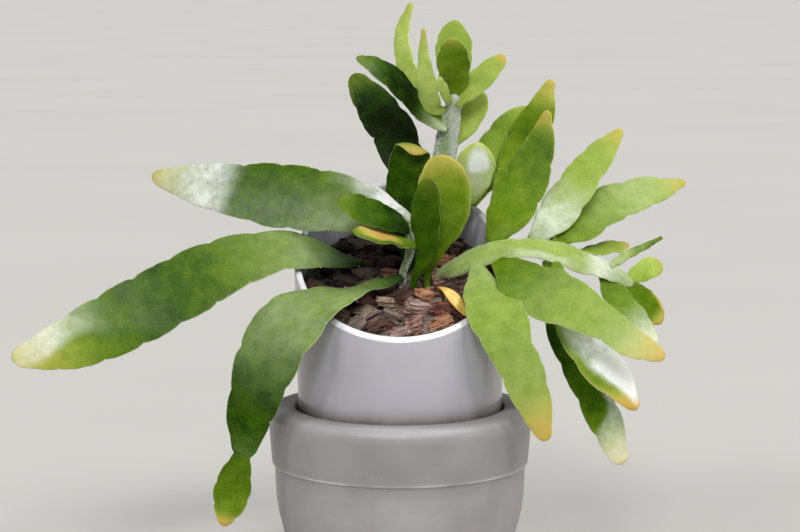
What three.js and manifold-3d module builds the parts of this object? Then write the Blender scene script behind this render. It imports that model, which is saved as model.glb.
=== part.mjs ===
// A potted Kimnachia ramulosa: a cactus with flat leaf-like stems, in a white pot with a slanted
// mouth that stands inside a wider cover pot.
// Millimetres, +Z up, +X right, +Y to the back. The origin is the centre of the cover pot's foot.
import * as THREE from "three";
import { mergeVertices } from "three/addons/utils/BufferGeometryUtils.js";
import Module from "manifold-3d";

const wasm = await Module();
wasm.setup();

// Clearance kept between pieces that touch
const GAP = 0.3;
// Sides of the pots, and of the plug of potting mix
const POT_SIDES = 36;
const PLUG_SIDES = 28;
// Steps in each rounded edge of the pots
const ROUNDING_STEPS = 4;

// Cover pot
const COVER = {
  footRadius: 32,
  bellyRadius: 55.4,
  bellyHeight: 54,
  bellyDrop: 66,
  bandBottom: 61.5,
  bandBottomRadius: 56.8,
  bandTopRadius: 58.4,
  stepChamfer: 1.6,
  shoulder: 4.4,
  ledge: 86,
  mouthRadius: 46.2,
  mouthChamfer: 1,
  collar: 5,
  wall: 3,
  floor: 4,
};

// Inner pot. Its mouth is cut on a slant: the rim drops towards the front by rimSlope.
const POT = {
  floorThickness: 3,
  footRadius: 29,
  footChamfer: 1.5,
  ledgeRadius: 45.2,
  rimRadius: 46.5,
  rimHeight: 152,
  rimSlope: 0.647,
  slopeStart: 92,
  wall: 3,
  drainRadius: 6,
};

// Bark mix: its surface slopes as the mouth does, with chips standing out of it.
const MIX = {
  centreHeight: 139,
  slope: 0.5,
  chips: 44,
  chipHalfLength: [5.4, 7.6],
  chipHalfWidth: [3.8, 5.4],
  chipHalfHeight: [2.4, 3.6],
  cornerPush: 0.45,
  chipTilt: 0.9,
  chipRise: 1.6,
  chipSpread: 38,
  seed: 11,
};
// The plain holes that the stems stand in
const HOLE = { radius: 2.6, length: 33, quarterSides: 5 };

// Pads. Every pad has a midline from root to tip, its full widths at even steps along it, and the ways
// its upper face looks, from root to tip. Margins are scalloped: "lobe" is the length of a scallop and
// "notch" its depth.
const PAD = {
  thickness: 2,
  margin: 0.9,
  rootThickness: 2.4,
  thinning: 16,
  lobe: 18,
  notch: 1.2,
  stepsPerLobe: 4,
  camber: 0.05,
};
const SMALL = { lobe: 10, notch: 0.6, stepsPerLobe: 2, thickness: 1.7 };
const STALKED = { ...SMALL, thinning: 30 };
const STEM = { lobe: 16, notch: 0, stepsPerLobe: 2, margin: 2.2, thickness: 2.8, rootThickness: 2.8 };

// The margins of a root are nearly as thick as its middle.
const ROOT_MARGIN = 0.8;
// A pad is rounded off over the last 0.6 of its end width, and its very tip is left this wide.
const TIP = { share: 0.6, sections: [0, 0.6, 1], halfWidth: 0.5 };

const SHOOTS = {
  left_shoot: [
    {
      ...STEM,
      line: [[1, -2, 127], [1, -2, 139], [1.5, -2, 146], [4, -2, 153], [4.5, -1, 160], [4, 0, 167]],
      widths: [3.2, 3.4, 3.6, 4, 3.6],
      faces: [[0, -1, 0]],
    },
    {
      line: [
        [4, 0, 166], [1, 0, 169], [-21, 6.5, 174], [-44, 12, 176.5], [-67, 17.5, 179],
        [-89, 24.5, 181.5], [-112, 30, 185],
      ],
      widths: [6, 22, 29, 31, 25.5, 18.5, 7],
      faces: [[0.1, -0.95, 0.3], [0, -0.9, 0.45], [0, -0.95, 0.3]],
    },
    {
      line: [
        [1, -3, 143.5], [-14, -16, 140.5], [-27, -28, 138.8], [-40.5, -37.5, 133.5], [-52, -43, 121.5],
        [-59, -45, 105.5], [-64, -43, 88.5], [-67, -42, 70],
      ],
      widths: [5, 9, 20, 29, 30.5, 25.5, 19.5, 9],
      faces: [[0, -0.5, 0.86], [-0.35, -0.45, 0.82], [-0.4, -0.85, 0.4], [-0.2, -1, 0.1], [0, -1, 0]],
    },
    {
      ...SMALL,
      line: [[-67, -42, 73], [-70, -41, 63], [-74, -38, 47], [-76, -37, 40]],
      widths: [7, 13, 16, 13, 5],
      faces: [[0, -1, 0]],
    },
    {
      ...SMALL,
      line: [[3.5, 0, 165.5], [-5, -9, 170], [-15, -16.5, 174], [-27, -22, 178.5]],
      widths: [9, 13, 15, 14, 6],
      faces: [[0, -0.8, 0.6]],
    },
    {
      ...SMALL,
      line: [[3.8, -1, 158.5], [-3.5, -13, 161.3], [-11.5, -22, 164], [-20, -29, 166]],
      widths: [5, 10.5, 13.5, 12.5, 6],
      faces: [[0, -0.45, 0.9]],
    },
  ],
  far_left_pad: [
    {
      line: [
        [-15, 10, 133], [-16, 9, 147], [-24, 4, 149.5], [-49, -2, 155], [-74, -6.5, 149.5],
        [-97, -11, 138.5], [-119.5, -16, 127], [-142.5, -22, 117], [-167, -28, 111],
      ],
      widths: [3, 6, 22.5, 29, 32.5, 31.5, 29.5, 22.5, 8.5],
      faces: [[-0.7, -0.6, 0], [0, -0.6, 0.8], [0, -0.75, 0.66], [0, -0.9, 0.4], [0, -0.95, 0.3]],
    },
  ],
  front_pad_dark: [
    {
      ...STALKED,
      line: [[6, -8, 126], [6, -8, 141], [7, -14, 158], [11, -22, 175], [13, -26, 189]],
      widths: [2.6, 2.6, 5, 11, 14, 9],
      faces: [[0, -1, 0.2], [-0.3, -0.9, 0.3]],
    },
  ],
  front_pad_bright: [
    {
      ...STALKED,
      line: [
        [12, -3, 126], [12, -3, 144], [16, -8, 156], [20, -13, 174], [19, -14, 189], [17, -14, 198],
      ],
      widths: [2.6, 2.8, 7, 18, 22, 13],
      faces: [[0, -1, 0.2], [0.1, -1, 0.2]],
    },
  ],
  curled_pad: [
    {
      ...STALKED,
      line: [
        [4, 6, 128], [4, 6, 141], [3, 8, 160], [1.5, 8, 180], [3, 7, 191], [4.5, 5, 199], [6, 1, 202],
        [7, -3, 200.3], [7.5, -5, 197],
      ],
      widths: [2.6, 2.8, 5, 9, 14, 16, 17, 16, 13],
      faces: [
        [0, -1, 0.2], [0, -1, 0.2], [0, -1, 0.2], [0, -1, 0.2], [0, -1, 0.1], [0, -1, 0.1], [0, -1, 0],
        [-0.1, -1, -0.3], [-0.2, -0.3, -1],
      ],
    },
  ],
  crown_shoot: [
    {
      line: [[11, 8, 127], [11, 8, 148], [15, 11, 168], [20, 16, 197], [23, 14, 214], [24, 9, 223]],
      widths: [3, 4, 8, 11, 10, 4],
      lobe: 12,
      notch: 0.5,
      stepsPerLobe: 2,
      thickness: 2.6,
      faces: [[0, -1, 0]],
    },
    {
      line: [[16, 13, 179], [4, 14, 190], [-3, 22, 205], [-13, 32, 219], [-21.5, 38, 230.5]],
      widths: [5, 17, 20.5, 20.5, 17, 8],
      faces: [[0.2, -0.95, 0.25]],
    },
    {
      ...SMALL,
      line: [[21, 15, 207], [10, 9, 215], [-1, 0, 228], [-10, -4, 235], [-19, -6, 239.5]],
      widths: [5, 12, 16, 17, 13, 5],
      faces: [[0.2, -0.65, 0.75]],
    },
    {
      ...SMALL,
      line: [[20, 16, 208], [6, 28, 228], [1, 34, 243], [2, 38, 254], [5.5, 40, 262.5]],
      widths: [4, 7, 9, 10, 8, 3],
      faces: [[-0.6, -0.8, 0]],
    },
    {
      ...SMALL,
      line: [[20.5, 14, 215.5], [15, 10, 217], [12, 4, 226.5], [10.5, 1, 239], [10, 0, 252]],
      widths: [2.2, 8.5, 9.8, 7.5, 4.2, 1.8],
      faces: [[-0.3, -0.95, 0]],
    },
    {
      ...SMALL,
      line: [[24, 13, 220], [24, 7, 227.5], [23, -3, 238], [22, -8, 248]],
      widths: [5, 11.5, 14.5, 14, 8],
      faces: [[0, -0.85, 0.5]],
    },
    {
      ...SMALL,
      line: [[24, 12, 218], [24, 18, 231], [24, 23, 244], [24, 26, 255]],
      widths: [4, 11, 15.5, 16, 8],
      faces: [[0, -1, 0.3]],
    },
    {
      ...SMALL,
      line: [[22, 11, 219], [19, 3, 225], [17, -2, 231]],
      widths: [3.6, 4.6, 4.8, 3],
      faces: [[0, -0.9, 0.4]],
    },
    {
      ...SMALL,
      line: [[24, 12, 217.5], [30.5, 9, 225], [38, 8, 232], [46, 8, 240]],
      widths: [4, 9, 11.5, 10, 5],
      faces: [[-0.2, -0.9, 0.4]],
    },
    {
      ...SMALL,
      line: [[23, 17, 199], [29.5, 18, 207.5], [32.5, 19, 214.5], [35, 20.5, 220], [36, 22, 224]],
      widths: [2.5, 6.5, 11, 12, 6.5],
      faces: [[-0.2, -0.9, 0.4]],
    },
  ],
  right_back_shoot: [
    {
      ...STEM,
      line: [[15, 12, 128], [15, 12, 141], [15, 12, 151], [22, 15, 162], [32, 18, 176]],
      widths: [3.2, 3.4, 3.6, 3.6],
      faces: [[0, -1, 0]],
    },
    {
      ...SMALL,
      line: [[31, 17, 173], [33, 12, 185], [33.5, 8.5, 194], [34, 7, 202]],
      widths: [4, 11, 16.5, 17, 10],
      faces: [[0.1, -0.9, 0.4]],
    },
    {
      line: [[31, 18, 173], [38, 26, 187], [49, 36, 202], [59, 44, 215]],
      widths: [6, 14, 19, 20.5, 17, 9],
      faces: [[0.2, -0.95, 0.2]],
    },
  ],
  arching_shoot: [
    {
      line: [
        [16, 1, 127], [16, 1, 138], [16.5, 0.5, 142.5], [24, -4, 147.5], [37, -6, 153.5],
        [51.5, -6, 156.5], [65.5, -4, 155], [79, 0, 150], [92, 3.5, 145], [104, 8, 138.5],
      ],
      widths: [3, 3.2, 8, 10.5, 10.4, 9.8, 12.4, 11.4, 8.4, 5.5],
      lobe: 14,
      notch: 0.7,
      stepsPerLobe: 2,
      thickness: 2.4,
      faces: [[0.8, -0.6, 0], [0, -0.8, 0.6], [0, -0.8, 0.6], [0, -0.8, 0.6]],
    },
    {
      line: [[44, -4, 159], [48, 12, 176], [56, 28, 197], [64, 39, 215], [69, 44, 228]],
      widths: [5, 14, 18, 19.5, 15, 4],
      faces: [[-0.2, -0.95, 0.3]],
    },
    {
      line: [[39, -4, 158], [45, 2, 166], [50, 8, 174], [58, 15, 190], [63, 19, 203], [66, 22, 215]],
      widths: [5, 19, 22, 20, 13, 4],
      faces: [[-0.2, -0.95, 0.3]],
    },
    {
      line: [[57, -4, 159], [66, 5, 166], [75, 14, 177], [88, 26, 193], [95, 31, 200], [100, 34, 206]],
      widths: [5, 17, 19, 17, 14, 4],
      faces: [[-0.3, -0.9, 0.4]],
    },
    {
      line: [
        [66, -4, 159], [79, 10, 164], [93, 24, 172], [112, 38, 177], [123, 43, 179], [131, 46, 181],
      ],
      widths: [5, 17, 19.5, 18, 14, 4],
      faces: [[-0.2, -0.9, 0.4]],
    },
    {
      line: [
        [33.5, -7, 149.5], [36, -21.5, 140.5], [40, -35, 134], [45, -43.5, 122.5], [51.5, -46, 108.5],
        [57, -46, 94], [62, -46, 79],
      ],
      widths: [6, 15, 24, 25.5, 20, 18.5, 14, 6],
      faces: [[0, -0.3, 0.95], [0.1, -0.7, 0.7], [0.1, -0.95, 0.25], [0, -1, 0]],
    },
    {
      line: [
        [43, -8, 152], [52, -19, 145], [62, -28.5, 140], [74, -35, 135], [86.5, -39.5, 128.5],
        [98.5, -42.5, 120.5], [112, -44, 114.5],
      ],
      widths: [9, 22.5, 28, 25, 17.5, 15.5, 6],
      faces: [[0.1, -0.8, 0.6]],
    },
    {
      line: [[68, -6, 151], [72, -17, 132], [83, -25, 113], [94.5, -29, 99.5], [102, -30, 89.5]],
      widths: [4, 13, 18.5, 20.5, 17, 6],
      faces: [[0.3, -0.9, 0.3]],
    },
    {
      line: [[64, -6, 152], [69, -8, 126], [81, -9, 100], [90, -10, 81], [98, -10, 61]],
      widths: [4, 12, 16, 16.5, 16, 9],
      faces: [[0.3, -0.95, 0.1]],
    },
    {
      ...SMALL,
      line: [[90, 2.5, 146], [94, -1, 137.5], [98, -3, 130.5], [105, -5, 122], [112.5, -8, 114]],
      widths: [6, 13, 14.5, 13.5, 5],
      faces: [[0.3, -0.8, 0.5]],
    },
    {
      ...SMALL,
      line: [[99.5, 7, 140], [106.5, 6, 132.5], [112, 7, 127], [116.5, 8, 121]],
      widths: [5, 11, 14.5, 13, 6],
      faces: [[0.3, -0.8, 0.5]],
    },
    {
      ...SMALL,
      line: [[101, 8, 140], [107, 13, 143], [113, 18, 145], [118.5, 22, 144.5]],
      widths: [4, 8, 10, 10, 5],
      faces: [[0.1, -0.9, 0.4]],
    },
    {
      ...SMALL,
      line: [[92, 4, 146.5], [101, 16, 150.5], [110, 27, 153], [119.5, 36, 156.5]],
      widths: [3, 4.6, 4.2, 3.2, 1.8],
      faces: [[0.1, -0.8, 0.6]],
    },
    {
      ...SMALL,
      line: [[77.5, 1, 152.5], [87, 14, 153], [96, 24, 153.5], [103.5, 30, 154]],
      widths: [4, 6.5, 8, 8.5, 4],
      faces: [[0.1, -0.6, 0.8]],
    },
  ],
  yellow_pad: [
    {
      ...STALKED,
      stepsPerLobe: 4,
      line: [
        [19, -14, 119], [19, -14, 133], [18.2, -16.5, 139.5], [18.6, -20.2, 140.8], [21.5, -22.6, 138.6],
        [25.2, -25.2, 134.8], [29.5, -28, 129.5],
      ],
      widths: [1.4, 1.4, 1.4, 1.8, 4.4, 5.6, 5.4, 3],
      faces: [
        [0, 1, 0], [0, 1, 0], [0, 1, 0], [0, 1, 0.2], [0, 0.6, 0.8], [0.1, -0.2, 1], [0.2, -0.6, 0.8],
        [0.3, -0.8, 0.5], [0.3, -0.8, 0.5],
      ],
    },
  ],
};

// Every run draws the same chips.
function seededRandom(seed) {
  let state = seed;
  return () => {
    state = (state * 1664525 + 1013904223) % 4294967296;
    return state / 4294967296;
  };
}

function solidFrom(geometry) {
  const bare = new THREE.BufferGeometry();
  bare.setAttribute("position", geometry.getAttribute("position"));
  if (geometry.index) bare.setIndex(geometry.index);
  const merged = mergeVertices(bare, 1e-3);
  const corners = merged.index.array;
  const kept = [];
  for (let i = 0; i < corners.length; i += 3) {
    const [a, b, c] = corners.slice(i, i + 3);
    if (a !== b && b !== c && c !== a) kept.push(a, b, c);
  }
  return new wasm.Manifold(
    new wasm.Mesh({
      numProp: 3,
      vertProperties: new Float32Array(merged.getAttribute("position").array),
      triVerts: new Uint32Array(kept),
    }),
  );
}

function geometryFrom(solid) {
  const mesh = solid.getMesh();
  const geometry = new THREE.BufferGeometry();
  geometry.setAttribute("position", new THREE.BufferAttribute(mesh.vertProperties, 3));
  geometry.setIndex(new THREE.BufferAttribute(mesh.triVerts, 1));
  const flat = geometry.toNonIndexed();
  flat.computeVertexNormals();
  return flat;
}

// Turns an outline of [radius, height] points round the Z axis.
function turned(outline, sides) {
  const points = outline.map(([radius, height]) => new THREE.Vector2(radius, height));
  const geometry = new THREE.LatheGeometry(points, sides);
  geometry.rotateX(Math.PI / 2);
  return geometry;
}

// Raises the back and drops the front, from nothing at "from" to the full slope at "to".
function slant(geometry, slope, from, to) {
  const position = geometry.getAttribute("position");
  for (let i = 0; i < position.count; i++) {
    const share = THREE.MathUtils.clamp((position.getZ(i) - from) / (to - from), 0, 1);
    position.setZ(i, position.getZ(i) + slope * share * position.getY(i));
  }
  return geometry;
}

// Points of an arc from angle "start" to angle "end", in degrees, "steps" apart.
function arc(centreRadius, centreHeight, size, start, end, steps) {
  return Array.from({ length: steps + 1 }, (_, i) => {
    const angle = THREE.MathUtils.degToRad(start + ((end - start) * i) / steps);
    return [centreRadius + size * Math.cos(angle), centreHeight + size * Math.sin(angle)];
  });
}

// The cover pot's outside below its band is part of an ellipse.
function bellyRadius(height) {
  const share = (height - COVER.bellyHeight) / COVER.bellyDrop;
  return COVER.bellyRadius * Math.sqrt(1 - share * share);
}

function coverPot() {
  const shoulderRadius = COVER.bandTopRadius - COVER.shoulder;
  const shoulderHeight = COVER.ledge - COVER.shoulder;
  const outerHeights = [4, 12, 24, 38, COVER.bellyHeight];
  const innerHeights = [COVER.bellyHeight, 28, 12, COVER.floor];
  const outline = [
    [0, 0],
    [COVER.footRadius, 0],
    ...outerHeights.map((height) => [bellyRadius(height), height]),
    [COVER.bellyRadius, COVER.bandBottom - COVER.stepChamfer],
    [COVER.bandBottomRadius, COVER.bandBottom],
    ...arc(shoulderRadius, shoulderHeight, COVER.shoulder, 0, 90, ROUNDING_STEPS),
    [COVER.mouthRadius + COVER.mouthChamfer, COVER.ledge],
    [COVER.mouthRadius, COVER.ledge - COVER.mouthChamfer],
    [COVER.mouthRadius, COVER.ledge - COVER.collar],
    [bellyRadius(COVER.bellyHeight) - COVER.wall, COVER.ledge - 2 * COVER.collar],
    ...innerHeights.map((height) => [bellyRadius(height) - COVER.wall, height]),
    [0, COVER.floor],
  ];
  return turned(outline, POT_SIDES);
}

// Outer radius of the inner pot at a height, before its mouth is slanted
function potRadius(height) {
  if (height < COVER.ledge) {
    const foot = COVER.floor + GAP;
    const share = (height - foot) / (COVER.ledge - foot);
    return THREE.MathUtils.lerp(POT.footRadius, POT.ledgeRadius, share);
  }
  const share = (height - COVER.ledge) / (POT.rimHeight - COVER.ledge);
  return THREE.MathUtils.lerp(POT.ledgeRadius, POT.rimRadius, share);
}

function innerPot() {
  const foot = COVER.floor + GAP;
  const floor = foot + POT.floorThickness;
  const lip = POT.wall / 2;
  const lipHeight = POT.rimHeight - lip;
  const heights = [COVER.ledge, POT.slopeStart];
  const outline = [
    [POT.drainRadius, foot],
    [POT.footRadius - POT.footChamfer, foot],
    [potRadius(foot + POT.footChamfer), foot + POT.footChamfer],
    ...heights.map((height) => [potRadius(height), height]),
    ...arc(potRadius(lipHeight) - lip, lipHeight, lip, 0, 180, ROUNDING_STEPS),
    ...heights.reverse().map((height) => [potRadius(height) - POT.wall, height]),
    [potRadius(floor) - POT.wall, floor],
    [POT.drainRadius, floor],
    [POT.drainRadius, foot],
  ];
  return slant(turned(outline, POT_SIDES), POT.rimSlope, POT.slopeStart, POT.rimHeight);
}

function mixHeight(y) {
  return MIX.centreHeight + MIX.slope * y;
}

// The plug of potting mix up to a height, kept clear of the pot's wall
function mixPlug(top) {
  const bottom = COVER.floor + GAP + POT.floorThickness + GAP;
  const inside = (height) => potRadius(height) - POT.wall - 2 * GAP;
  return turned(
    [
      [0, bottom],
      [inside(bottom), bottom],
      [inside(COVER.ledge), COVER.ledge],
      [inside(POT.slopeStart), POT.slopeStart],
      [inside(POT.rimHeight), top],
      [0, top],
    ],
    PLUG_SIDES,
  );
}

// One angular chip of bark, part sunk in the surface of the mix: a block with every corner pushed about
function barkChip(index, random) {
  const block = new THREE.BoxGeometry(2, 2, 2);
  const chip = mergeVertices(
    new THREE.BufferGeometry()
      .setAttribute("position", block.getAttribute("position"))
      .setIndex(block.index),
    1e-3,
  );
  const position = chip.getAttribute("position");
  for (let i = 0; i < position.count; i++) {
    const pushed = [position.getX(i), position.getY(i), position.getZ(i)].map(
      (value) => value * (1 - MIX.cornerPush * random()),
    );
    position.setXYZ(i, ...pushed);
  }
  const pick = ([low, high]) => low + (high - low) * random();
  chip.scale(pick(MIX.chipHalfLength), pick(MIX.chipHalfWidth), pick(MIX.chipHalfHeight));
  chip.rotateX((random() - 0.5) * MIX.chipTilt);
  chip.rotateY((random() - 0.5) * MIX.chipTilt);
  chip.rotateZ(random() * Math.PI * 2);
  const goldenAngle = Math.PI * (3 - Math.sqrt(5));
  const distance = MIX.chipSpread * Math.sqrt((index + 0.5) / MIX.chips);
  const angle = index * goldenAngle;
  const x = distance * Math.cos(angle);
  const y = distance * Math.sin(angle);
  chip.translate(x, y, mixHeight(y) + MIX.chipRise * random());
  return chip;
}

// A round hole along the buried start of a stem
function rootHole(line) {
  const start = new THREE.Vector3(...line[0]);
  const along = new THREE.Vector3(...line[1]).sub(start).normalize();
  const bottom = start.clone().addScaledVector(along, -GAP);
  const top = start.clone().addScaledVector(along, HOLE.length);
  const circle = new THREE.Shape().absarc(0, 0, HOLE.radius, 0, Math.PI * 2);
  return new THREE.ExtrudeGeometry(circle, {
    extrudePath: new THREE.LineCurve3(bottom, top),
    steps: 1,
    curveSegments: HOLE.quarterSides,
  });
}

function barkMix() {
  const random = seededRandom(MIX.seed);
  const plug = slant(mixPlug(MIX.centreHeight), MIX.slope, POT.slopeStart, MIX.centreHeight);
  let mix = solidFrom(plug);
  for (let i = 0; i < MIX.chips; i++) mix = mix.add(solidFrom(barkChip(i, random)));
  mix = mix.intersect(solidFrom(mixPlug(POT.rimHeight + POT.rimRadius)));
  for (const pads of Object.values(SHOOTS)) {
    mix = mix.subtract(solidFrom(rootHole(pads[0].line)));
  }
  const largestFirst = mix.decompose().sort((a, b) => b.volume() - a.volume());
  return geometryFrom(largestFirst[0]);
}

// Blends from a to b over 0..1 with a level start and end.
function ease(a, b, share) {
  const t = THREE.MathUtils.clamp(share, 0, 1);
  return a + (b - a) * t * t * (3 - 2 * t);
}

// Smooth value at a share of the way along a list of evenly spaced values
function valueAt(values, share) {
  const place = share * (values.length - 1);
  const index = Math.min(Math.floor(place), values.length - 2);
  const at = (i) => values[THREE.MathUtils.clamp(i, 0, values.length - 1)];
  const t = place - index;
  const slopeIn = (at(index + 1) - at(index - 1)) / 2;
  const slopeOut = (at(index + 2) - at(index)) / 2;
  const rise = at(index + 1) - at(index);
  return at(index) + slopeIn * t + (3 * rise - 2 * slopeIn - slopeOut) * t * t
    + (slopeIn + slopeOut - 2 * rise) * t * t * t;
}

// The length over which the end of a pad is rounded off
function tipLength(pad) {
  return TIP.share * pad.widths.at(-1);
}

// Half the width of a pad at a distance from its root. Scallops on the two sides are half a lobe apart.
function halfWidth(pad, distance, length, side) {
  const body = valueAt(pad.widths, distance / length) / 2;
  const toTip = Math.min((length - distance) / tipLength(pad), 1);
  const rounding = Math.sqrt(1 - (1 - toTip) * (1 - toTip));
  const phase = distance / pad.lobe + (side > 0 ? 0.5 : 0);
  const acrossLobe = 2 * (phase - Math.floor(phase)) - 1;
  const fullest = Math.max(...pad.widths) / 2;
  const notch = (pad.notch * Math.pow(Math.abs(acrossLobe), 3) * body) / fullest;
  return Math.max((body - notch) * rounding, TIP.halfWidth);
}

// Distances from the root at which a pad has a section: even steps, then closer ones round the tip
function stations(pad, length) {
  const step = pad.lobe / pad.stepsPerLobe;
  const tipStart = length - tipLength(pad);
  const count = Math.max(Math.round(tipStart / step), 1);
  const even = Array.from({ length: count }, (_, i) => (tipStart * i) / count);
  return [...even, ...TIP.sections.map((share) => tipStart + tipLength(pad) * share)];
}

function faceAt(faces, share) {
  const place = share * (faces.length - 1);
  const index = Math.min(Math.floor(place), faces.length - 2);
  if (faces.length === 1) return new THREE.Vector3(...faces[0]);
  const from = new THREE.Vector3(...faces[index]);
  return from.lerp(new THREE.Vector3(...faces[index + 1]), place - index);
}

// A flat pad: six-cornered sections along its midline, thick in the middle and thin at the margins
function padGeometry(shape) {
  const pad = { ...PAD, ...shape };
  const curve = new THREE.CatmullRomCurve3(pad.line.map((point) => new THREE.Vector3(...point)));
  const length = curve.getLength();
  const vertices = [];
  const distances = stations(pad, length);
  for (const distance of distances) {
    const share = Math.min(distance / length, 1);
    const centre = curve.getPointAt(share);
    const along = curve.getTangentAt(share);
    const side = new THREE.Vector3().crossVectors(along, faceAt(pad.faces, share)).normalize();
    const face = new THREE.Vector3().crossVectors(side, along);
    const middle = ease(pad.rootThickness, pad.thickness, distance / pad.thinning) / 2;
    const thin = ease(ROOT_MARGIN * pad.rootThickness, pad.margin, distance / pad.thinning) / 2;
    const sectionPoint = (across, lift) => {
      const raised = lift + (pad.camber * across * across * 2) / Math.max(...pad.widths);
      const point = centre.clone().addScaledVector(side, across).addScaledVector(face, raised);
      vertices.push(point.x, point.y, point.z);
    };
    const left = -halfWidth(pad, distance, length, -1);
    const right = halfWidth(pad, distance, length, 1);
    sectionPoint(left, thin);
    sectionPoint(0, middle);
    sectionPoint(right, thin);
    sectionPoint(right, -thin);
    sectionPoint(0, -middle);
    sectionPoint(left, -thin);
  }
  const triangles = [];
  const corners = 6;
  // Both faces are split alike, with the diagonals running inwards.
  const last = (distances.length - 1) * corners;
  for (let ring = 0; ring < distances.length - 1; ring++) {
    for (let corner = 0; corner < corners; corner++) {
      const next = (corner + 1) % corners;
      const a = ring * corners + corner;
      const b = ring * corners + next;
      const turnedRound = corner === 1 || corner === 4;
      if (turnedRound) triangles.push(a, b, a + corners, b, b + corners, a + corners);
      else triangles.push(a, b, b + corners, a, b + corners, a + corners);
    }
  }
  for (const [a, b, c] of [[0, 5, 1], [1, 5, 4], [1, 4, 2], [2, 4, 3]]) {
    triangles.push(a, b, c);
    triangles.push(last + a, last + c, last + b);
  }
  const geometry = new THREE.BufferGeometry();
  geometry.setAttribute("position", new THREE.Float32BufferAttribute(vertices, 3));
  geometry.setIndex(triangles);
  return geometry;
}

// A shoot is its stem with all its pads grown together.
function shoot(pads) {
  return geometryFrom(pads.map((pad) => solidFrom(padGeometry(pad))).reduce((a, b) => a.add(b)));
}

const finishes = {
  outer_pot: { color: "#c9cac8", roughness: 0.45 },
  inner_pot: { color: "#e6e6ea", roughness: 0.15 },
  bark_mix: { color: "#5d4136", roughness: 0.9 },
  pad: { color: "#7f9f45", roughness: 0.55 },
  yellow_pad: { color: "#d9c04a", roughness: 0.55 },
};

const plant = new THREE.Group();

function addNode(name, geometry, finish) {
  const mesh = new THREE.Mesh(geometry, new THREE.MeshStandardMaterial({ ...finish, metalness: 0 }));
  mesh.name = name;
  plant.add(mesh);
}

addNode("outer_pot", geometryFrom(solidFrom(coverPot())), finishes.outer_pot);
addNode("inner_pot", geometryFrom(solidFrom(innerPot())), finishes.inner_pot);
addNode("bark_mix", barkMix(), finishes.bark_mix);
for (const [name, pads] of Object.entries(SHOOTS)) {
  addNode(name, shoot(pads), finishes[name] ?? finishes.pad);
}

export default plant;
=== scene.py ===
# %% [markdown]
# # A potted flat-stemmed cactus
# The object is a Kimnachia ramulosa: a cactus that grows on trees and has flat green stems, called pads
# here, in place of leaves. It stands in coarse bark in a glazed pot with a slanted mouth, and that pot
# stands in a wider white cover pot.
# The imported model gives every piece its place. This script dresses it: finer meshes take over from the
# plain solids, and each surface gets the finish of the real one.

import math
import random

import bmesh
import bpy
from mathutils import Matrix, Vector, noise
from mathutils.geometry import interpolate_bezier


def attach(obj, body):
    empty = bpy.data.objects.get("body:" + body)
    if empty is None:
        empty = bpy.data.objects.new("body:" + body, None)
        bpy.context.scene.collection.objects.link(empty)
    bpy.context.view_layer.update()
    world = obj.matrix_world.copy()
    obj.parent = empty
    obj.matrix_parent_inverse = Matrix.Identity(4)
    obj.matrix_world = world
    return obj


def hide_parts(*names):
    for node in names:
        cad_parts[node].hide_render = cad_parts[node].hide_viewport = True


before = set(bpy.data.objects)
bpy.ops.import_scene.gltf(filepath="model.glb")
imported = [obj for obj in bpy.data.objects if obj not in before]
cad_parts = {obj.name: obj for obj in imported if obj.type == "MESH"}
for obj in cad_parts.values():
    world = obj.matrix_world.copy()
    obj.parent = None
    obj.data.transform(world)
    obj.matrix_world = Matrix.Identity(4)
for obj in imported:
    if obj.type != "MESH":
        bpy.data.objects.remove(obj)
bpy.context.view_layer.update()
print("nodes:", ", ".join(sorted(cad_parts)))

# %% [markdown]
# ## Units
# Blender works in metres, and a plant and its pots are easier to think of in millimetres, so the sizes
# below are millimetres times MM. The origin is the middle of the cover pot's foot, with Z up, X to the
# right and Y to the back.

# %% Units
MM = 0.001
print("one millimetre is", MM, "metres")

# %% [markdown]
# ## Camera
# The photograph was taken from a little above the pots with a long lens. The camera's place comes from
# the tilt that the two rims show: the lower the eye, the flatter their ellipses.

# %% Camera
CAMERA_PITCH = math.radians(7.3)
CAMERA_DISTANCE = 978 * MM
CAMERA_TARGET = Vector((0, 0, 147.9 * MM))


def add_camera():
    data = bpy.data.cameras.new("camera")
    data.lens = 100
    data.sensor_width = 36
    camera = bpy.data.objects.new("camera", data)
    bpy.context.scene.collection.objects.link(camera)
    back = Vector((0, -math.cos(CAMERA_PITCH), math.sin(CAMERA_PITCH)))
    camera.location = CAMERA_TARGET + back * CAMERA_DISTANCE
    camera.rotation_euler = (math.pi / 2 - CAMERA_PITCH, 0, 0)
    return camera


bpy.context.scene.camera = add_camera()
print("camera at", [round(value, 3) for value in bpy.context.scene.camera.location])

# %% [markdown]
# ## Colours and nodes
# Colours are written as a colour picker shows them, in sRGB hex, and shaders want linear light, so one
# function turns them over. A second one adds a node and fills its inputs, which keeps each material to
# a few lines. An input is given by its name, or by its number where a node has several of one name.

# %% Colours


def color(hex_code):
    """An sRGB colour such as "#a0b050" as linear red, green, blue and alpha"""
    parts = [int(hex_code[i:i + 2], 16) / 255 for i in (1, 3, 5)]
    linear = [part / 12.92 if part <= 0.04045 else ((part + 0.055) / 1.055) ** 2.4 for part in parts]
    return (*linear, 1)


print("middle grey in linear light:", round(color("#808080")[0], 3))

# %% Nodes and materials


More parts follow.
